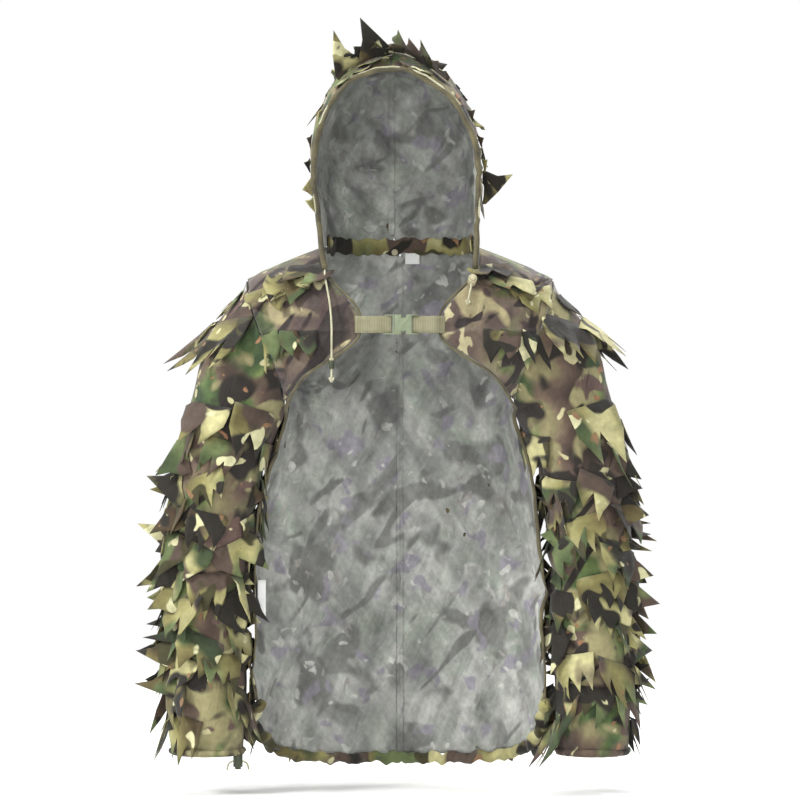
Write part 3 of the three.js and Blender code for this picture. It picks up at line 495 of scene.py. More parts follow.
def two_sided(shape, outward):
    """Gives faces that look outwards the first finish, and the others the second.

    Near the shoulders the cloth turns level, so there facing up counts as outwards as well.
    """
    for face in shape.faces:
        middle_point = face.calc_center_median()
        away = outward(middle_point)
        if abs(away.z) < 0.01:
            away.z = 0.7 * smoothstep(SHOULDER_LOW, SHOULDER_HIGH, middle_point.z)
        face.material_index = 0 if face.normal.dot(away) > 0 else 1


def smoothstep(low, high, value):
    """Zero below low, one above high, and a soft curve between."""
    share = min(max((value - low) / (high - low), 0.0), 1.0)
    return share * share * (3 - 2 * share)


print("helpers for pieces ready")

# %% [markdown]
# ## Wrinkles
# Thin mesh that hangs from the shoulders falls in long soft folds. One field of folds covers the
# whole body and every piece sewn to it reads the same field, so seams, tapes and panels move
# together and nothing opens. The folds fade out at the neck and the armholes, where the cloth is
# held. The hood and the sleeves have their own fields.

# %% Wrinkles
BODY_HALF_WIDTH = 0.217
BODY_HALF_DEPTH = 0.118
HOOD_MIDDLE = Vector((-0.006, 0.02, 0.13))


def body_outward(point):
    """The direction out of the body, level, at a point of the torso."""
    return Vector((point.x / BODY_HALF_WIDTH ** 2, point.y / BODY_HALF_DEPTH ** 2, 0)).normalized()


def hood_outward(point):
    """The direction out of the hood at a point of its shell."""
    return (point - HOOD_MIDDLE).normalized()


def stretched_noise(point, x, y, z, shift=(0, 0, 0)):
    """Noise with its own rate along each axis, so its waves can be long one way."""
    return noise.noise(Vector((point.x * x, point.y * y, point.z * z)) + Vector(shift))


def ridge(value):
    """A wave with soft valleys and narrower crests."""
    return 1 - abs(math.sin(value)) ** 0.8


def body_field(point):
    """The height of the torso's folds: slanting ones across the back and short puckers."""
    held = smoothstep(-0.015, -0.12, point.z) * smoothstep(0.235, 0.2, abs(point.x))
    drift = noise.noise(point * 4.0)
    fan = point.x * (0.9 if point.x > 0 else 1.0) - point.z * (0.45 if point.x < 0 else -0.35)
    slant = ridge(fan * 34 + drift * 5)
    where = smoothstep(-0.05, 0.3, noise.noise(point * 3.1 + Vector((5, 2, 8))))
    upright = stretched_noise(point, 30, 8, 3.5)
    cross = stretched_noise(point, 9, 8, 14)
    small = noise.noise(point * 38)
    gathers = stretched_noise(point, 75, 20, 9)
    gathered = math.exp(-((point.z + 0.05) / 0.09) ** 2)
    held *= 1 - 0.8 * smoothstep(-0.02, -0.07, point.y)
    return (held * (0.017 * (slant - 0.45) * (0.35 + 0.65 * where) + 0.009 * upright
                    + 0.005 * cross + 0.0024 * small)
            + 0.0032 * gathered * gathers * smoothstep(0.01, -0.03, point.z))


def hood_field(point):
    """The height of the hood's wrinkles, deepest half-way up and gone at the neck."""
    held = smoothstep(0.0, 0.06, point.z)
    folds = stretched_noise(point, 22, 14, 10, (3, 1, 7))
    crumple = ridge(noise.noise(point * 9 + Vector((1, 6, 2))) * 9)
    small = noise.noise(point * 45)
    return held * (0.006 * folds + 0.004 * (crumple - 0.5) + 0.0018 * small)


def sleeve_field(point):
    """The height of a sleeve's wrinkles: rings at the elbow, softer slants elsewhere."""
    held = smoothstep(-0.06, -0.16, point.z)
    elbow = math.exp(-((point.z + 0.42) / 0.11) ** 2)
    rings = ridge(point.z * 60 + point.x * 18 + noise.noise(point * 9) * 4)
    soft = stretched_noise(point, 16, 16, 7)
    return held * (0.006 * elbow * (rings - 0.5) + 0.0055 * soft + 0.0015 * noise.noise(point * 40))


YOKE_FOLD_HEIGHT = -0.116


def yoke_field(point):
    """The torso's folds with the yoke's soft level waves and the tuck across its lower part."""
    waves = noise.noise(Vector((point.x * 13, 2.0, point.z * 42)))
    clear_of_strap = smoothstep(0.065, 0.09, abs(point.x))
    tuck = math.exp(-((point.z - YOKE_FOLD_HEIGHT) / 0.0035) ** 2)
    held = smoothstep(0.0, -0.03, point.z) * smoothstep(0.225, 0.2, abs(point.x))
    return body_field(point) + held * clear_of_strap * (0.0045 * waves + 0.0028 * tuck)


print("folds at the waist", round(body_field(Vector((0.05, 0.118, -0.4))) * 1000, 1), "mm")

# %% [markdown]
# ## Cords
# The hood's drawcord is one 3 mm braided cord. Both its ends leave the rim casing at the collar and
# hang on the chest: the right one is long and carries a barrel stop and a bead, and the left one is
# short and carries a spring lock. The cuff's cord passes through its own lock. A cord is a smooth
# curve through listed points, with a round section. Each tail ends in an overhand knot,
# which is a closed three-lobed loop of the same cord.

# %% Cords
CORD_RADIUS = 0.0015
KNOT_SIZE = 0.0033
KNOT_POINTS = 24
RUN_START = Vector((0.108, -0.097, -0.033))
RUN_END = Vector((0.100, -0.113, -0.071))
RUN_DIRECTION = (RUN_END - RUN_START).normalized()
right_route = [
    (-0.1110, -0.0809, -0.0245), (-0.1108, -0.0870, -0.0330), (-0.1095, -0.0930, -0.0410),
    (-0.1065, -0.1030, -0.0560), (-0.1030, -0.1140, -0.0760), (-0.1010, -0.1220, -0.0940),
    (-0.1000, -0.1265, -0.1120), (-0.1000, -0.1265, -0.1240), (-0.1000, -0.1265, -0.1400),
    (-0.1000, -0.1265, -0.1620), (-0.1000, -0.1265, -0.1840),
]
left_route = [
    (0.1110, -0.0809, -0.0245), (0.1103, -0.0870, -0.0292), (0.1090, -0.0925, -0.0295),
    *(tuple(RUN_START + RUN_DIRECTION * along) for along in (0.002, 0.012, 0.022, 0.032, 0.042)),
]
CUFF_CORD = Vector((-0.242, -0.02265, -0.7573))
cuff_steps = [(-16, -13), (-15.4, -8), (-13, -2.6), (-9, 0), (0, 0), (9, 0), (13, -2.6),
              (15.4, -8), (16, -12)]
cuff_route = [tuple(CUFF_CORD + Vector((x, 0, z)) / 1000) for x, z in cuff_steps]


def smooth_cord(name, route, radius, closed=False):
    """A curve of round cord that passes smoothly through its points."""
    data = bpy.data.curves.new(name, "CURVE")
    data.dimensions = "3D"
    data.bevel_depth = radius
    data.bevel_resolution = 3
    data.use_fill_caps = not closed
    spline = data.splines.new("BEZIER")
    spline.bezier_points.add(len(route) - 1)
    for point, place in zip(spline.bezier_points, route):
        point.co = place
        point.handle_left_type = point.handle_right_type = "AUTO"
    spline.use_cyclic_u = closed
    spline.resolution_u = 6
    data.materials.append(cord_braid)
    made = bpy.data.objects.new(name, data)
    bpy.context.collection.objects.link(made)
    return made


def route_length(route):
    """The length along a route's points, in metres."""
    return sum((Vector(b) - Vector(a)).length for a, b in zip(route, route[1:]))


def knot(name, middle, size, body, stands_for):
    """An overhand knot: a closed three-lobed loop of cord."""
    turns = [2 * math.pi * i / KNOT_POINTS for i in range(KNOT_POINTS)]
    loop = [middle + size * Vector((math.sin(t) + 2 * math.sin(2 * t),
                                    1.1 * -math.sin(3 * t),
                                    math.cos(t) - 2 * math.cos(2 * t))) / 3 for t in turns]
    made = smooth_cord(name, loop, CORD_RADIUS * 0.85, closed=True)
    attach(made, body)
    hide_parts(stands_for)
    return made


tails = []
for name, route, body, node in (
        ("drawcord_tail_long", right_route, "jacket", "drawcord_tail_right"),
        ("drawcord_tail_short", left_route, "jacket", "drawcord_tail_left"),
        ("cuff_cord_loop", cuff_route, "sleeve_right_arm", "cuff_cord")):
    tail = smooth_cord(name, route, CORD_RADIUS)
    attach(tail, body)
    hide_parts(node)
    tails.append((tail, route))
knots = []
for side in ("right", "left"):
    corners = [Vector(corner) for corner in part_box(f"cord_end_{side}")]
    knots.append(knot(f"drawcord_knot_{side}", sum(corners, Vector()) / 2, KNOT_SIZE, "jacket",
                      f"cord_end_{side}"))
carried = [("knot", [knots[0], "cord_barrel_right", "cord_bead_right"]),
           ("knot", [knots[1], "cord_lock_left", "lock_button_left", "lock_spring_left"]),
           ("bare", ["cuff_lock", "cuff_lock_button", "cuff_lock_spring"])]
for (tail, route), (far_end, pieces) in zip(tails, carried):
    print(tail.name, round(route_length(route) * 1000), "mm")

# %% [markdown]
# ## Body cloth
# Two back panels meet under a centre tape, and a sheer yoke covers each side of the chest. They
# are cut flat and hang from the shoulders, so each is the frame's own shell with folds laid into
# it. The outer side is printed, and the inner side shows the same ink faintly through the mesh.


# %% Body cloth
def cloth_piece(name, node, body, finishes, outward, field, levels=2, swell=0.0):
    """A cloth piece in the place of a frame solid, finely divided, plumped and wrinkled."""
    shape = subdivided(merged_copy(node), levels)
    keep_print_place(shape)
    shape.normal_update()
    for vert in shape.verts:
        vert.co += vert.normal * swell
    if len(finishes) > 1:
        two_sided(shape, outward)
    wrinkled(shape, outward, field)
    return new_piece(name, shape, body, finishes, [node])


back_panels = [
    cloth_piece(f"back_cloth_{side}", f"back_panel_{side}", "jacket",
                [printed_mesh, lining_mesh], body_outward, body_field, 3)
    for side in ("right", "left")]
yokes = [
    cloth_piece(f"yoke_cloth_{side}", f"front_yoke_{side}", "jacket",
                [yoke_mesh, lining_mesh], body_outward, yoke_field, 3)
    for side in ("right", "left")]
cloth_piece("back_seam_tape", "centre_back_seam", "jacket", [lining_mesh],
            body_outward, body_field)
for side in ("right", "left"):
    cloth_piece(f"front_binding_{side}", f"edge_binding_{side}", "jacket",
                [edge_tape], body_outward, body_field)
print("body cloth faces", sum(len(piece.data.polygons) for piece in back_panels + yokes))

# %% [markdown]
# ## Gathered hem, collar and cuffs
# Elastic is sewn into a folded tunnel along the hem and round each cuff, and it gathers the cloth
# into tight little puckers. The same happens in the collar band. A pucker is a short wave along
# the tunnel, so the field is a fine noise that is stretched across it. The hem and the collar band
# also wander up and down, and both are cut from the paler leaf cloth.


# %% Gathered hem, collar and cuffs
EDGE_WANDER = 0.0075
EDGE_WANDER_RATE = 70


def flat_field(point):
    """No folds at all."""
    return 0.0


def pucker_field(size_mm, depth_mm, base):
    """A wrinkle field with fine gathers on top of the cloth's own folds."""
    rate = 1000 / size_mm

    def field(point):
        gathers = noise.noise(Vector((point.x * rate, point.y * rate, point.z * rate * 0.3)))
        return base(point) + depth_mm / 1000 * gathers
    return field


hem = cloth_piece("gathered_hem", "hem_casing", "jacket", [leaf_cloth],
                  body_outward, pucker_field(16, 8.0, body_field), 3, swell=0.0032)
collar = cloth_piece("gathered_collar", "collar_band", "jacket", [leaf_cloth],
                     body_outward, pucker_field(14, 5.0, flat_field), 4, swell=0.0008)
for piece in (hem, collar):
    for vert in piece.data.vertices:
        place = Vector((vert.co.x * EDGE_WANDER_RATE, vert.co.y * EDGE_WANDER_RATE, 3.0))
        vert.co.z += EDGE_WANDER * noise.noise(place)
print("hem faces", len(hem.data.polygons), "collar faces", len(collar.data.polygons))

# %% [markdown]
# ## Hood
# The hood is two shells with a seam over the crown, closed by a tape inside, and a folded tunnel
# round the face that holds the drawcord. The cloth crosses from the jacket to the hood at the neck
# seam.

# %% Hood
NECK_START = (0, 0.05, 0.005)
NECK_END = (0, 0.05, 0.085)
hood_shells = [
    cloth_piece(f"hood_cloth_{side}", f"hood_shell_{side}", None,
                [printed_mesh, lining_mesh], hood_outward, hood_field, 3)
    for side in ("right", "left")]
hood_tape = cloth_piece("hood_seam_tape", "hood_seam", None, [lining_mesh],
                        hood_outward, hood_field)
rim = cloth_piece("hood_rim_tunnel", "rim_casing", None, [edge_tape],
                  hood_outward, pucker_field(14, 1.2, hood_field))
for piece in (*hood_shells, hood_tape, rim):
    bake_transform(piece)
print("hood faces", sum(len(piece.data.polygons) for piece in hood_shells))

# %% [markdown]
# ## Sleeves
# Each sleeve is one tube of the printed mesh, set in at the armhole and gathered into a cuff. Its
# middle line is measured from the frame's shell, and gives the direction out of the sleeve.


# %% Sleeves
def tube_middle(node, height, reach=0.07):
    """The middle of a tube of cloth at a height, from the frame's own points."""
    near = [vert.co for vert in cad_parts[node].data.vertices
            if abs(vert.co.z - height) < reach]
    xs = [point.x for point in near]
    ys = [point.y for point in near]
    return Vector(((min(xs) + max(xs)) / 2, (min(ys) + max(ys)) / 2, height))


SLEEVE_STEP = 0.05
sleeve_line = {}
for side in ("right", "left"):
    low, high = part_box(f"sleeve_{side}")
    count = int((high[2] - low[2]) / SLEEVE_STEP)
    heights = [low[2] + 0.02 + SLEEVE_STEP * i for i in range(count)]
    sleeve_line[side] = [tube_middle(f"sleeve_{side}", height) for height in heights]


def sleeve_middle(side, height):
    """The point on a sleeve's middle line at a height."""
    line = sleeve_line[side]
    share = (height - line[0].z) / SLEEVE_STEP
    index = min(max(int(share), 0), len(line) - 2)
    point = line[index].lerp(line[index + 1], min(max(share - index, 0), 1))
    return Vector((point.x, point.y, height))


def sleeve_outward(side):
    """The direction out of one sleeve, level, as a function of the point."""
    def outward(point):
        away = point - sleeve_middle(side, point.z)
        return Vector((away.x, away.y, 0)).normalized()
    return outward


sleeves = {}
for side, pivot_x in (("right", -0.228), ("left", 0.228)):
    away = 1 if pivot_x > 0 else -1
    arm = f"sleeve_{side}_arm"
    sleeves[side] = cloth_piece(f"sleeve_cloth_{side}", f"sleeve_{side}", None,
                                [printed_mesh, lining_mesh], sleeve_outward(side), sleeve_field, 2)
    cloth_piece(f"gathered_cuff_{side}", f"cuff_casing_{side}", arm,
                [printed_mesh], sleeve_outward(side),
                pucker_field(9, 3.4, flat_field), 3, swell=0.0018)
    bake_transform(sleeves[side])
print("sleeve faces", len(sleeves["right"].data.polygons))

# %% [markdown]
# ## Leaves
# The leaves are cut with curved, thorn-like tips from strips of printed ripstop, and each strip is
# sewn on along its upper edge. One leaf patch is a small grid: its columns are pulled down to the
# cut outline, with one peak for each tip, and the patch is then bent and laid on the cloth. Any
# point that would go through the cloth is lifted off it. A patch has only a few dozen faces,
# because there are hundreds of them, and a thin Solidify gives the whole strip its thickness.

# %% Leaves
LEAF_THICKNESS = 0.0006
LEAF_ROWS = 4
COLUMNS_A_TIP = 4
draw = random.Random(7)


def outer_tree(pieces_of_cloth):
    """A search tree over the outer faces of some cloth pieces."""
    points, faces = [], []
    for piece in pieces_of_cloth:
        start = len(points)
        points += [vert.co.copy() for vert in piece.data.vertices]
        faces += [[start + index for index in face.vertices]
                  for face in piece.data.polygons if face.material_index == 0]
    return BVHTree.FromPolygons(points, faces)


def leaf_outline(tips, cut):
    """How far each place across a patch reaches, from 0 to 1, with a peak for each tip."""
    lengths = [draw.uniform(0.7, 1.0) for _ in range(tips)]

    def reach(across):
        tip = min(int(across * tips), tips - 1)
        from_middle = abs(2 * (across * tips - tip) - 1)
        return lengths[tip] * (1 - cut * from_middle ** 0.85)
    return reach


def add_leaf(shape, layer, tree, root, normal, hint, size, tips=2, stand=0.35, swing=0.0,
             curl=0.5, cut=0.52, hook=None):
    """Adds one leaf patch to a strip: rooted on the cloth, pointing along the hint."""
    width, length = size
    reach = leaf_outline(tips, cut)
    down = (hint - normal * hint.dot(normal)).normalized()
    down = Matrix.Rotation(swing, 3, normal) @ down
    side = down.cross(normal)
    lean = draw.uniform(-0.3, 0.3) if hook is None else hook
    fold = draw.choice((-1, 1)) * draw.uniform(0.1, 0.3)
    ripple_phase = draw.uniform(0, 6.28)
    ripple = draw.uniform(0.03, 0.08) * length
    shift = Vector([draw.uniform(-3, 3) for _ in range(3)])
    grid = bmesh.ops.create_grid(shape, x_segments=COLUMNS_A_TIP * tips, y_segments=LEAF_ROWS,
                                 size=0.5)
    for vert in grid["verts"]:
        across, along = vert.co.x + 0.5, 0.5 - vert.co.y
        tip_share = abs(2 * ((across * tips) % 1.0) - 1)
        far = along * length * reach(across)
        share = far / length
        x = (across - 0.5) * width * (1 - 0.12 * share) + lean * length * share ** 2
        rise = far * math.sin(stand) + curl * length * share ** 3 * 0.5
        rise += fold * (0.5 - tip_share) * width / tips * 0.5 * share
        rise += ripple * math.sin(across * tips * 3.1 + ripple_phase) * share
        place = root + side * x + down * far * math.cos(stand) + normal * rise
        near, facing, _, _ = tree.find_nearest(place)
        height = (place - near).dot(facing)
        clear = 0.002 + 0.006 * share
        if along < 0.01:
            place = near + facing * clear
        elif height < clear:
            place += facing * (clear - height)
        vert[layer] = Vector((x, far, 0)) + shift
        vert.co = place


def new_strip():
    """An empty strip of leaves and its layer for the print."""
    shape = bmesh.new()
    return shape, shape.verts.layers.float_vector.new("print_place")


def finish_strip(name, shape, body, stands_for, bend=None):
    """Turns a filled strip into a piece and thickens it; given a bend, it rides on no body."""
    piece = new_piece(name, shape, None if bend else body, [leaf_cloth], [stands_for])
    if bend:
        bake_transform(piece)
    thick = piece.modifiers.new("cloth_thickness", "SOLIDIFY")
    thick.thickness = LEAF_THICKNESS
    thick.offset = 0
    return piece


back_tree = outer_tree([*back_panels, hem])
hood_tree = outer_tree(hood_shells)
yoke_tree = outer_tree(yokes)
sleeve_trees = {side: outer_tree([sleeves[side]]) for side in sleeves}
DOWN = Vector((0, 0, -1))
BODY_RAY, TUBE_RAY, TUBE_REACH = 0.6, 0.4, 0.42
leaf_count = 0
print("leaf helpers ready")

# %% [markdown]
# ## Leaves on the back and the hem
# Overlapping rows run round the back from side edge to side edge. Each leaf is rooted where a line
# drawn from outside meets the cloth, so the rows follow the folds. Rows are set half a leaf apart,
# and none is sewn on the centre seam.

# %% Leaves on the back and the hem
BACK_ROWS = 12
BACK_FIRST, BACK_LAST = -0.045, -0.69
BACK_STRIPS = 4
SHOULDER_BLADES = -0.24
SEAM_CLEARANCE = 0.03
back_strips = [new_strip() for _ in range(BACK_STRIPS)]
for row in range(BACK_ROWS):
    height = BACK_FIRST + (BACK_LAST - BACK_FIRST) * row / (BACK_ROWS - 1)
    shape, layer = back_strips[row * BACK_STRIPS // BACK_ROWS]
    half_turn, count = (0.9, 7) if height > SHOULDER_BLADES else (1.5, 10)
    for index in range(count):
        turn = half_turn * (2 * (index + 0.5 * (row % 2) + draw.uniform(-0.15, 0.15)) / count - 1)
        outward = Vector((math.sin(turn), math.cos(turn), 0))
        origin = Vector((0, 0, height + draw.uniform(-0.008, 0.008))) + outward * BODY_RAY
        root, normal, _, _ = back_tree.ray_cast(origin, -outward)
        if root is None or abs(root.x) < SEAM_CLEARANCE:
            continue
        add_leaf(shape, layer, back_tree, root, normal, DOWN,
                 (draw.uniform(0.055, 0.085), draw.uniform(0.06, 0.085)),
                 tips=draw.choice((2, 2, 3)), stand=draw.uniform(0.08, 0.3),
                 swing=draw.uniform(-0.5, 0.5), curl=draw.uniform(0.1, 0.5))
        leaf_count += 1
for number, (shape, layer) in enumerate(back_strips, 1):
    finish_strip(f"leaf_rows_back_{number}", shape, "jacket", f"back_leaves_{number}")

HEM_LEAVES = 15
HEM_ROOT_HEIGHT = -0.735
shape, layer = new_strip()
for index in range(HEM_LEAVES):
    turn = 1.35 * (2 * (index + 0.5) / HEM_LEAVES - 1)
    outward = Vector((math.sin(turn), math.cos(turn), 0))
    origin = Vector((0, 0, HEM_ROOT_HEIGHT)) + outward * BODY_RAY
    root, normal, _, _ = back_tree.ray_cast(origin, -outward)
    if root is None:
        continue
    add_leaf(shape, layer, back_tree, root, normal, DOWN,
             (draw.uniform(0.04, 0.06), draw.uniform(0.03, 0.045)), tips=2,
             stand=draw.uniform(0.2, 0.6), swing=draw.uniform(-0.6, 0.6), curl=0.5)
    leaf_count += 1
finish_strip("leaf_row_hem", shape, "jacket", "hem_leaves")
print("leaves on the back and hem", leaf_count)

# %% [markdown]
# ## Leaves on the sleeves
# The upper arm has two broad skirts of pale lobes with plain cloth between them. Below the elbow
# the strips come close together, and their tips stand out from the sleeve like thorns, most of all
# on its two sides, where they break up the outline.

# %% Leaves on the sleeves
ARM_STRIPS = 4
# height of the row, leaves round the arm, leaf width, leaf length, how far tips stand off
arm_rows = [(-0.052, 5, 0.074, 0.070, 0.2), (-0.105, 6, 0.082, 0.096, 0.22),
            (-0.228, 6, 0.080, 0.096, 0.28), (-0.276, 6, 0.070, 0.078, 0.28)]
FOREARM_ROWS = 9
FOREARM_FIRST, FOREARM_LAST = -0.335, -0.690
arm_rows += [(FOREARM_FIRST + (FOREARM_LAST - FOREARM_FIRST) * row / (FOREARM_ROWS - 1),
              6, 0.076, 0.070, 0.32) for row in range(FOREARM_ROWS)]
THORN_STEP = 0.042
UNDERARM_HEIGHT = -0.26
LEFT_OUT = 0.14


def sleeve_root(side, height, outward):
    """Where a level line from outside meets a sleeve, and the way the cloth faces there."""
    origin = sleeve_middle(side, height) + outward * TUBE_RAY
    root, normal, _, _ = sleeve_trees[side].ray_cast(origin, -outward, TUBE_REACH)
    return root, normal


for side, away in (("right", -1), ("left", 1)):
    strips = [new_strip() for _ in range(ARM_STRIPS)]
    for row, (height, count, width, length, stand) in enumerate(arm_rows):
        shape, layer = strips[row * ARM_STRIPS // len(arm_rows)]
        for index in range(count):
            turn = 2 * math.pi * (index + 0.5 * (row % 2) + draw.uniform(-0.12, 0.12)) / count
            outward = Vector((math.cos(turn), math.sin(turn), 0))
            root, normal = sleeve_root(side, height + draw.uniform(-0.01, 0.01), outward)
            under_arm = outward.x * away < -0.5 and height > UNDERARM_HEIGHT
            if root is None or under_arm or draw.random() < LEFT_OUT:
                continue
            add_leaf(shape, layer, sleeve_trees[side], root, normal, DOWN,
                     (width * draw.uniform(0.8, 1.15), length * draw.uniform(0.8, 1.15)),
                     tips=draw.choice((2, 3, 3)), stand=stand * draw.uniform(0.5, 1.0),
                     swing=draw.uniform(-0.45, 0.45), curl=draw.uniform(-0.1, 0.3))
            leaf_count += 1
    for outer in (True, False):
        first, last = (-0.30, -0.715) if outer else (-0.36, -0.70)
        step = THORN_STEP if outer else THORN_STEP * 1.5
        sideways = away if outer else -away
        for index in range(int((first - last) / step)):
            height = first - step * index + draw.uniform(-0.006, 0.006)
            for facing in (-0.7, 0.4):
                outward = Vector((sideways * 0.78, facing, 0)).normalized()
                root, normal = sleeve_root(side, height, outward)
                if root is None:
                    continue
                shape, layer = strips[min(max(int(-height / 0.19), 0), ARM_STRIPS - 1)]
                size = (draw.uniform(0.044, 0.06), draw.uniform(0.052, 0.068))
                if not outer:
                    size = (0.036, 0.030)
                add_leaf(shape, layer, sleeve_trees[side], root, normal,
                         Vector((sideways, 0, draw.uniform(-0.7, 0.1))), size,
                         tips=draw.choice((1, 1, 2)), stand=draw.uniform(0.45, 0.75),
                         swing=0.0, curl=draw.uniform(-0.1, 0.2), cut=0.75,
                         hook=draw.uniform(0.15, 0.5) * draw.choice((-1, 1)))
                leaf_count += 1
    arm = f"sleeve_{side}_arm"
    for number, (shape, layer) in enumerate(strips, 1):
        finish_strip(f"leaf_rows_{side}_arm_{number}", shape, arm,
                     f"sleeve_leaves_{side}_{number}")
print("leaves so far", leaf_count)

# %% [markdown]
# ## Leaves on the yokes
# Each yoke has leaves along the top of the shoulder, and a row of pale leaves that hangs from the
# hem fold across the chest.

# %% Leaves on the yokes
for side, away in (("right", -1), ("left", 1)):
    shape, layer = new_strip()
    spots = [(0.150 + 0.026 * i, YOKE_FOLD_HEIGHT - 0.003 * i, 0.058, 0.056) for i in range(4)]
    spots += [(0.128 + 0.034 * i, -0.018 - 0.017 * i, 0.074, 0.060) for i in range(4)]
    spots += [(0.112 + 0.022 * i, -0.026 - 0.006 * i, 0.050, 0.040) for i in range(4)]
    for x, height, width, length in spots:
        origin = Vector((x * away, -0.5, height))
        root, normal, _, _ = yoke_tree.ray_cast(origin, Vector((0, 1, 0)))
        if root is None:
            continue
        add_leaf(shape, layer, yoke_tree, root, normal, DOWN, (width, length),
                 stand=draw.uniform(0.1, 0.35), swing=draw.uniform(-0.35, 0.35),
                 curl=draw.uniform(0, 0.4))
        leaf_count += 1
    finish_strip(f"leaf_rows_yoke_{side}", shape, "jacket", f"yoke_leaves_{side}")
print("leaves so far", leaf_count)

# %% [markdown]
# ## Leaves on the hood
# The front row folds over towards the face, the rows behind it hang down the back, and a few long
# curved thorns stand up from the crown.

# %% Leaves on the hood
HOOD_STRIPS = 3
hood_strips = [new_strip() for _ in range(HOOD_STRIPS)]


def hood_root(back, arch):
    """Where a line from outside meets the hood, given how far back and how far round the arch."""
    outward = Vector((math.sin(arch), 0, math.cos(arch)))
    origin = Vector((HOOD_MIDDLE.x, back, HOOD_MIDDLE.z)) + outward * TUBE_RAY
    root, normal, _, _ = hood_tree.ray_cast(origin, -outward, TUBE_REACH)
    return root, normal


# how far back, half the arch in degrees, leaves, width, length, stand, where the tips point
hood_rows = [(-0.070, 34, 5, 0.058, 0.034, 0.35, Vector((0, -1, 0))),
             (-0.045, 32, 4, 0.060, 0.044, 0.7, Vector((0, -0.6, 0))),
             (-0.010, 96, 8, 0.064, 0.055, 0.06, Vector((0, 1, -0.2))),
             (0.030, 108, 9, 0.066, 0.060, 0.08, Vector((0, 1, -0.7))),
             (0.070, 104, 8, 0.068, 0.064, 0.10, Vector((0, 0.6, -1))),
             (0.105, 90, 6, 0.068, 0.064, 0.12, DOWN)]
for row, (back, half_arch, count, width, length, stand, hint) in enumerate(hood_rows):
    shape, layer = hood_strips[row * HOOD_STRIPS // len(hood_rows)]
    for index in range(count):
        arch = math.radians(half_arch) * (2 * (index + 0.5) / count - 1) + draw.uniform(-0.06, 0.06)
        root, normal = hood_root(back, arch)
        if root is None:
            continue
        add_leaf(shape, layer, hood_tree, root, normal, hint,
                 (width * draw.uniform(0.85, 1.2), length * draw.uniform(0.8, 1.15)),
                 tips=draw.choice((2, 2, 3)), stand=stand * draw.uniform(0.7, 1.2),
                 swing=draw.uniform(-0.3, 0.3), curl=draw.uniform(-0.2, 0.1))
        leaf_count += 1
# thorns: how far back, degrees round the arch, width, length, stand, sideways hook
thorns = [(-0.06, -10, 0.052, 0.092, 1.35, 0.2), (-0.055, -26, 0.044, 0.080, 1.3, -0.3),
          (-0.055, 14, 0.030, 0.022, 1.1, 0.3), (-0.05, 104, 0.050, 0.062, 1.15, 0.5),
          (-0.05, -104, 0.030, 0.030, 1.0, 0.3), (-0.05, -116, 0.026, 0.026, 1.0, -0.3)]
thorns += [(-0.06, side * degrees, 0.022, 0.017, 1.0, 0.3 * side)
           for side in (-1, 1) for degrees in (56, 74, 90)]
shape, layer = hood_strips[0]
for back, degrees, width, length, stand, hook in thorns:
    root, normal = hood_root(back, math.radians(degrees))
    if root is None:
        continue
    add_leaf(shape, layer, hood_tree, root, normal, Vector((0, -1, 0)), (width, length), tips=1,
             stand=stand, curl=0.0, cut=0.9, hook=hook)
    leaf_count += 1
for number, (shape, layer) in enumerate(hood_strips, 1):
    finish_strip(f"leaf_rows_hood_{number}", shape, None, f"hood_leaves_{number}",
                 ("jacket", "hood", NECK_START, NECK_END))
print("leaves in all", leaf_count)

# %% [markdown]
# ## Buckle, locks and beads
# The small hardware is injection moulded, so every edge has a small round where the tool was
# relieved. A copy of the frame's solid gets a two-step bevel on its sharp edges, which is what
# catches the light on such a part.


# %% Buckle, locks and beads
def moulded_copy(name, node, body, slot_name, finish, round_mm):
    """A copy of a frame solid with rounded sharp edges."""
    shape = bmesh.new()
    shape.from_mesh(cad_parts[node].data)
    bmesh.ops.remove_doubles(shape, verts=shape.verts, dist=MERGE_DISTANCE)
    bmesh.ops.dissolve_limit(shape, angle_limit=0.02, verts=shape.verts, edges=shape.edges)
    sharp = [edge for edge in shape.edges
             if len(edge.link_faces) == 2 and edge.calc_face_angle(0) > 0.6]
    bmesh.ops.bevel(shape, geom=sharp, offset=round_mm / 1000, affect="EDGES", segments=2,
                    profile=0.5, material=-1, clamp_overlap=True)
    return new_piece(name, shape, body, [finish], [node])


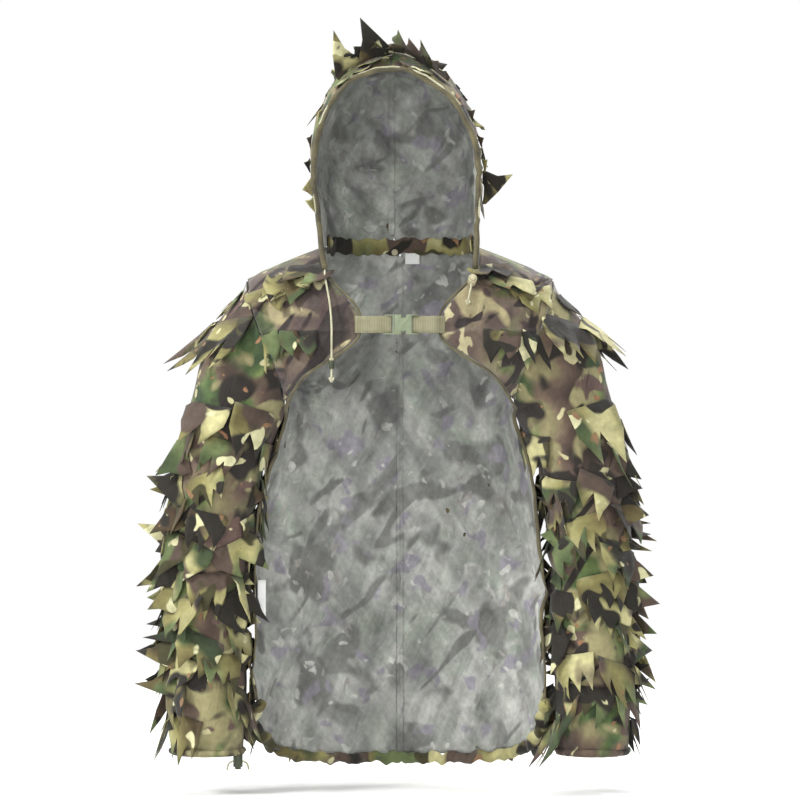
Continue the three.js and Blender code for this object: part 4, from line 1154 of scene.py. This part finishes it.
hardware = [
    ("chest_buckle_socket", "buckle_female", "jacket", "buckle_plastic", buckle_plastic, 0.6),
    ("chest_buckle_plug", "buckle_male", "strap_right", "buckle_plastic", buckle_plastic, 0.5),
    ("cord_barrel", "cord_barrel_right", "barrel_right", "lock_plastic", lock_plastic, 0.5),
    ("cord_bead", "cord_bead_right", "barrel_right", "bead_plastic", bead_plastic, 0.5),
    ("cord_lock_body", "cord_lock_left", "lock_left", "bead_plastic", bead_plastic, 0.5),
    ("cord_lock_button", "lock_button_left", "lock_left_button", "bead_plastic", bead_plastic, 0.4),
    ("cuff_lock_body", "cuff_lock", "sleeve_right_arm", "lock_plastic", lock_plastic, 0.5),
    ("cuff_lock_push", "cuff_lock_button", "cuff_button", "lock_plastic", lock_plastic, 0.4),
    ("collar_stud", "neck_stud", "jacket", "bead_plastic", bead_plastic, 0.5),
]
for row in hardware:
    moulded_copy(*row)
print("hardware pieces", len(hardware))

# %% [markdown]
# ## Webbing and labels
# The chest strap is 25 mm polyamide webbing, doubled back through the ladder of its buckle half.
# The size label and the care label are blank satin tabs sewn in at one edge, so they curl a little.
# The elastics, the cord in its tunnel and the lock springs keep the frame's own shapes.


# %% Webbing and labels
def strap_field(point):
    """The slight wave of webbing that hangs between two buckles."""
    return 0.0006 * math.sin(point.x * 160) + 0.0004 * noise.noise(point * 60)


def forwards(point):
    """The direction out of the chest."""
    return Vector((0, -1, 0))


straps = {side: cloth_piece(f"chest_webbing_{side}", f"webbing_{side}", body,
                            [strap_webbing], forwards, strap_field, 2)
          for side, body in (("left", "jacket"), ("right", None))}
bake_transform(straps["right"])


def label_field(point):
    """A label's free corner lifts a little."""
    return 0.0015 * noise.noise(point * 50)


for name, node in (("size_tab", "size_label"), ("care_tab", "care_label")):
    cloth_piece(name, node, "jacket", [label_cloth], forwards, label_field, 3)
kept_solids = {
    "hem_elastic": elastic_braid, "cuff_elastic_right": elastic_braid,
    "cuff_elastic_left": elastic_braid, "hood_drawcord": cord_braid,
    "lock_spring_left": spring_steel, "cuff_lock_spring": spring_steel,
}
for node, finish in kept_solids.items():
    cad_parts[node].data.materials.clear()
    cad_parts[node].data.materials.append(finish)
print("webbing and labels done")

# %% [markdown]
# The rectangles are estimates.


# %% [markdown]
# ## Floor finish and size
# The floor is matt white board, very slightly uneven in tone. The last cell also writes down the
# frame's box.

floor_finish, floor_tree, floor_shader = blank_finish("matt_studio_floor")
floor_place = add_node(floor_tree, "TexCoord").outputs["Object"]
_, floor_colour = drifting_colour(floor_tree, floor_place, 0.6, 2.0,
                                  [(0.3, "#F4F4F3"), (0.7, "#F8F8F7")])
floor_tree.links.new(floor_colour, floor_shader.inputs["Base Color"])
floor_shader.inputs["Roughness"].default_value = 0.9
floor.data.materials.append(floor_finish)

print("frame  ", [round(v, 3) for v in (*cad_low, *cad_high)])
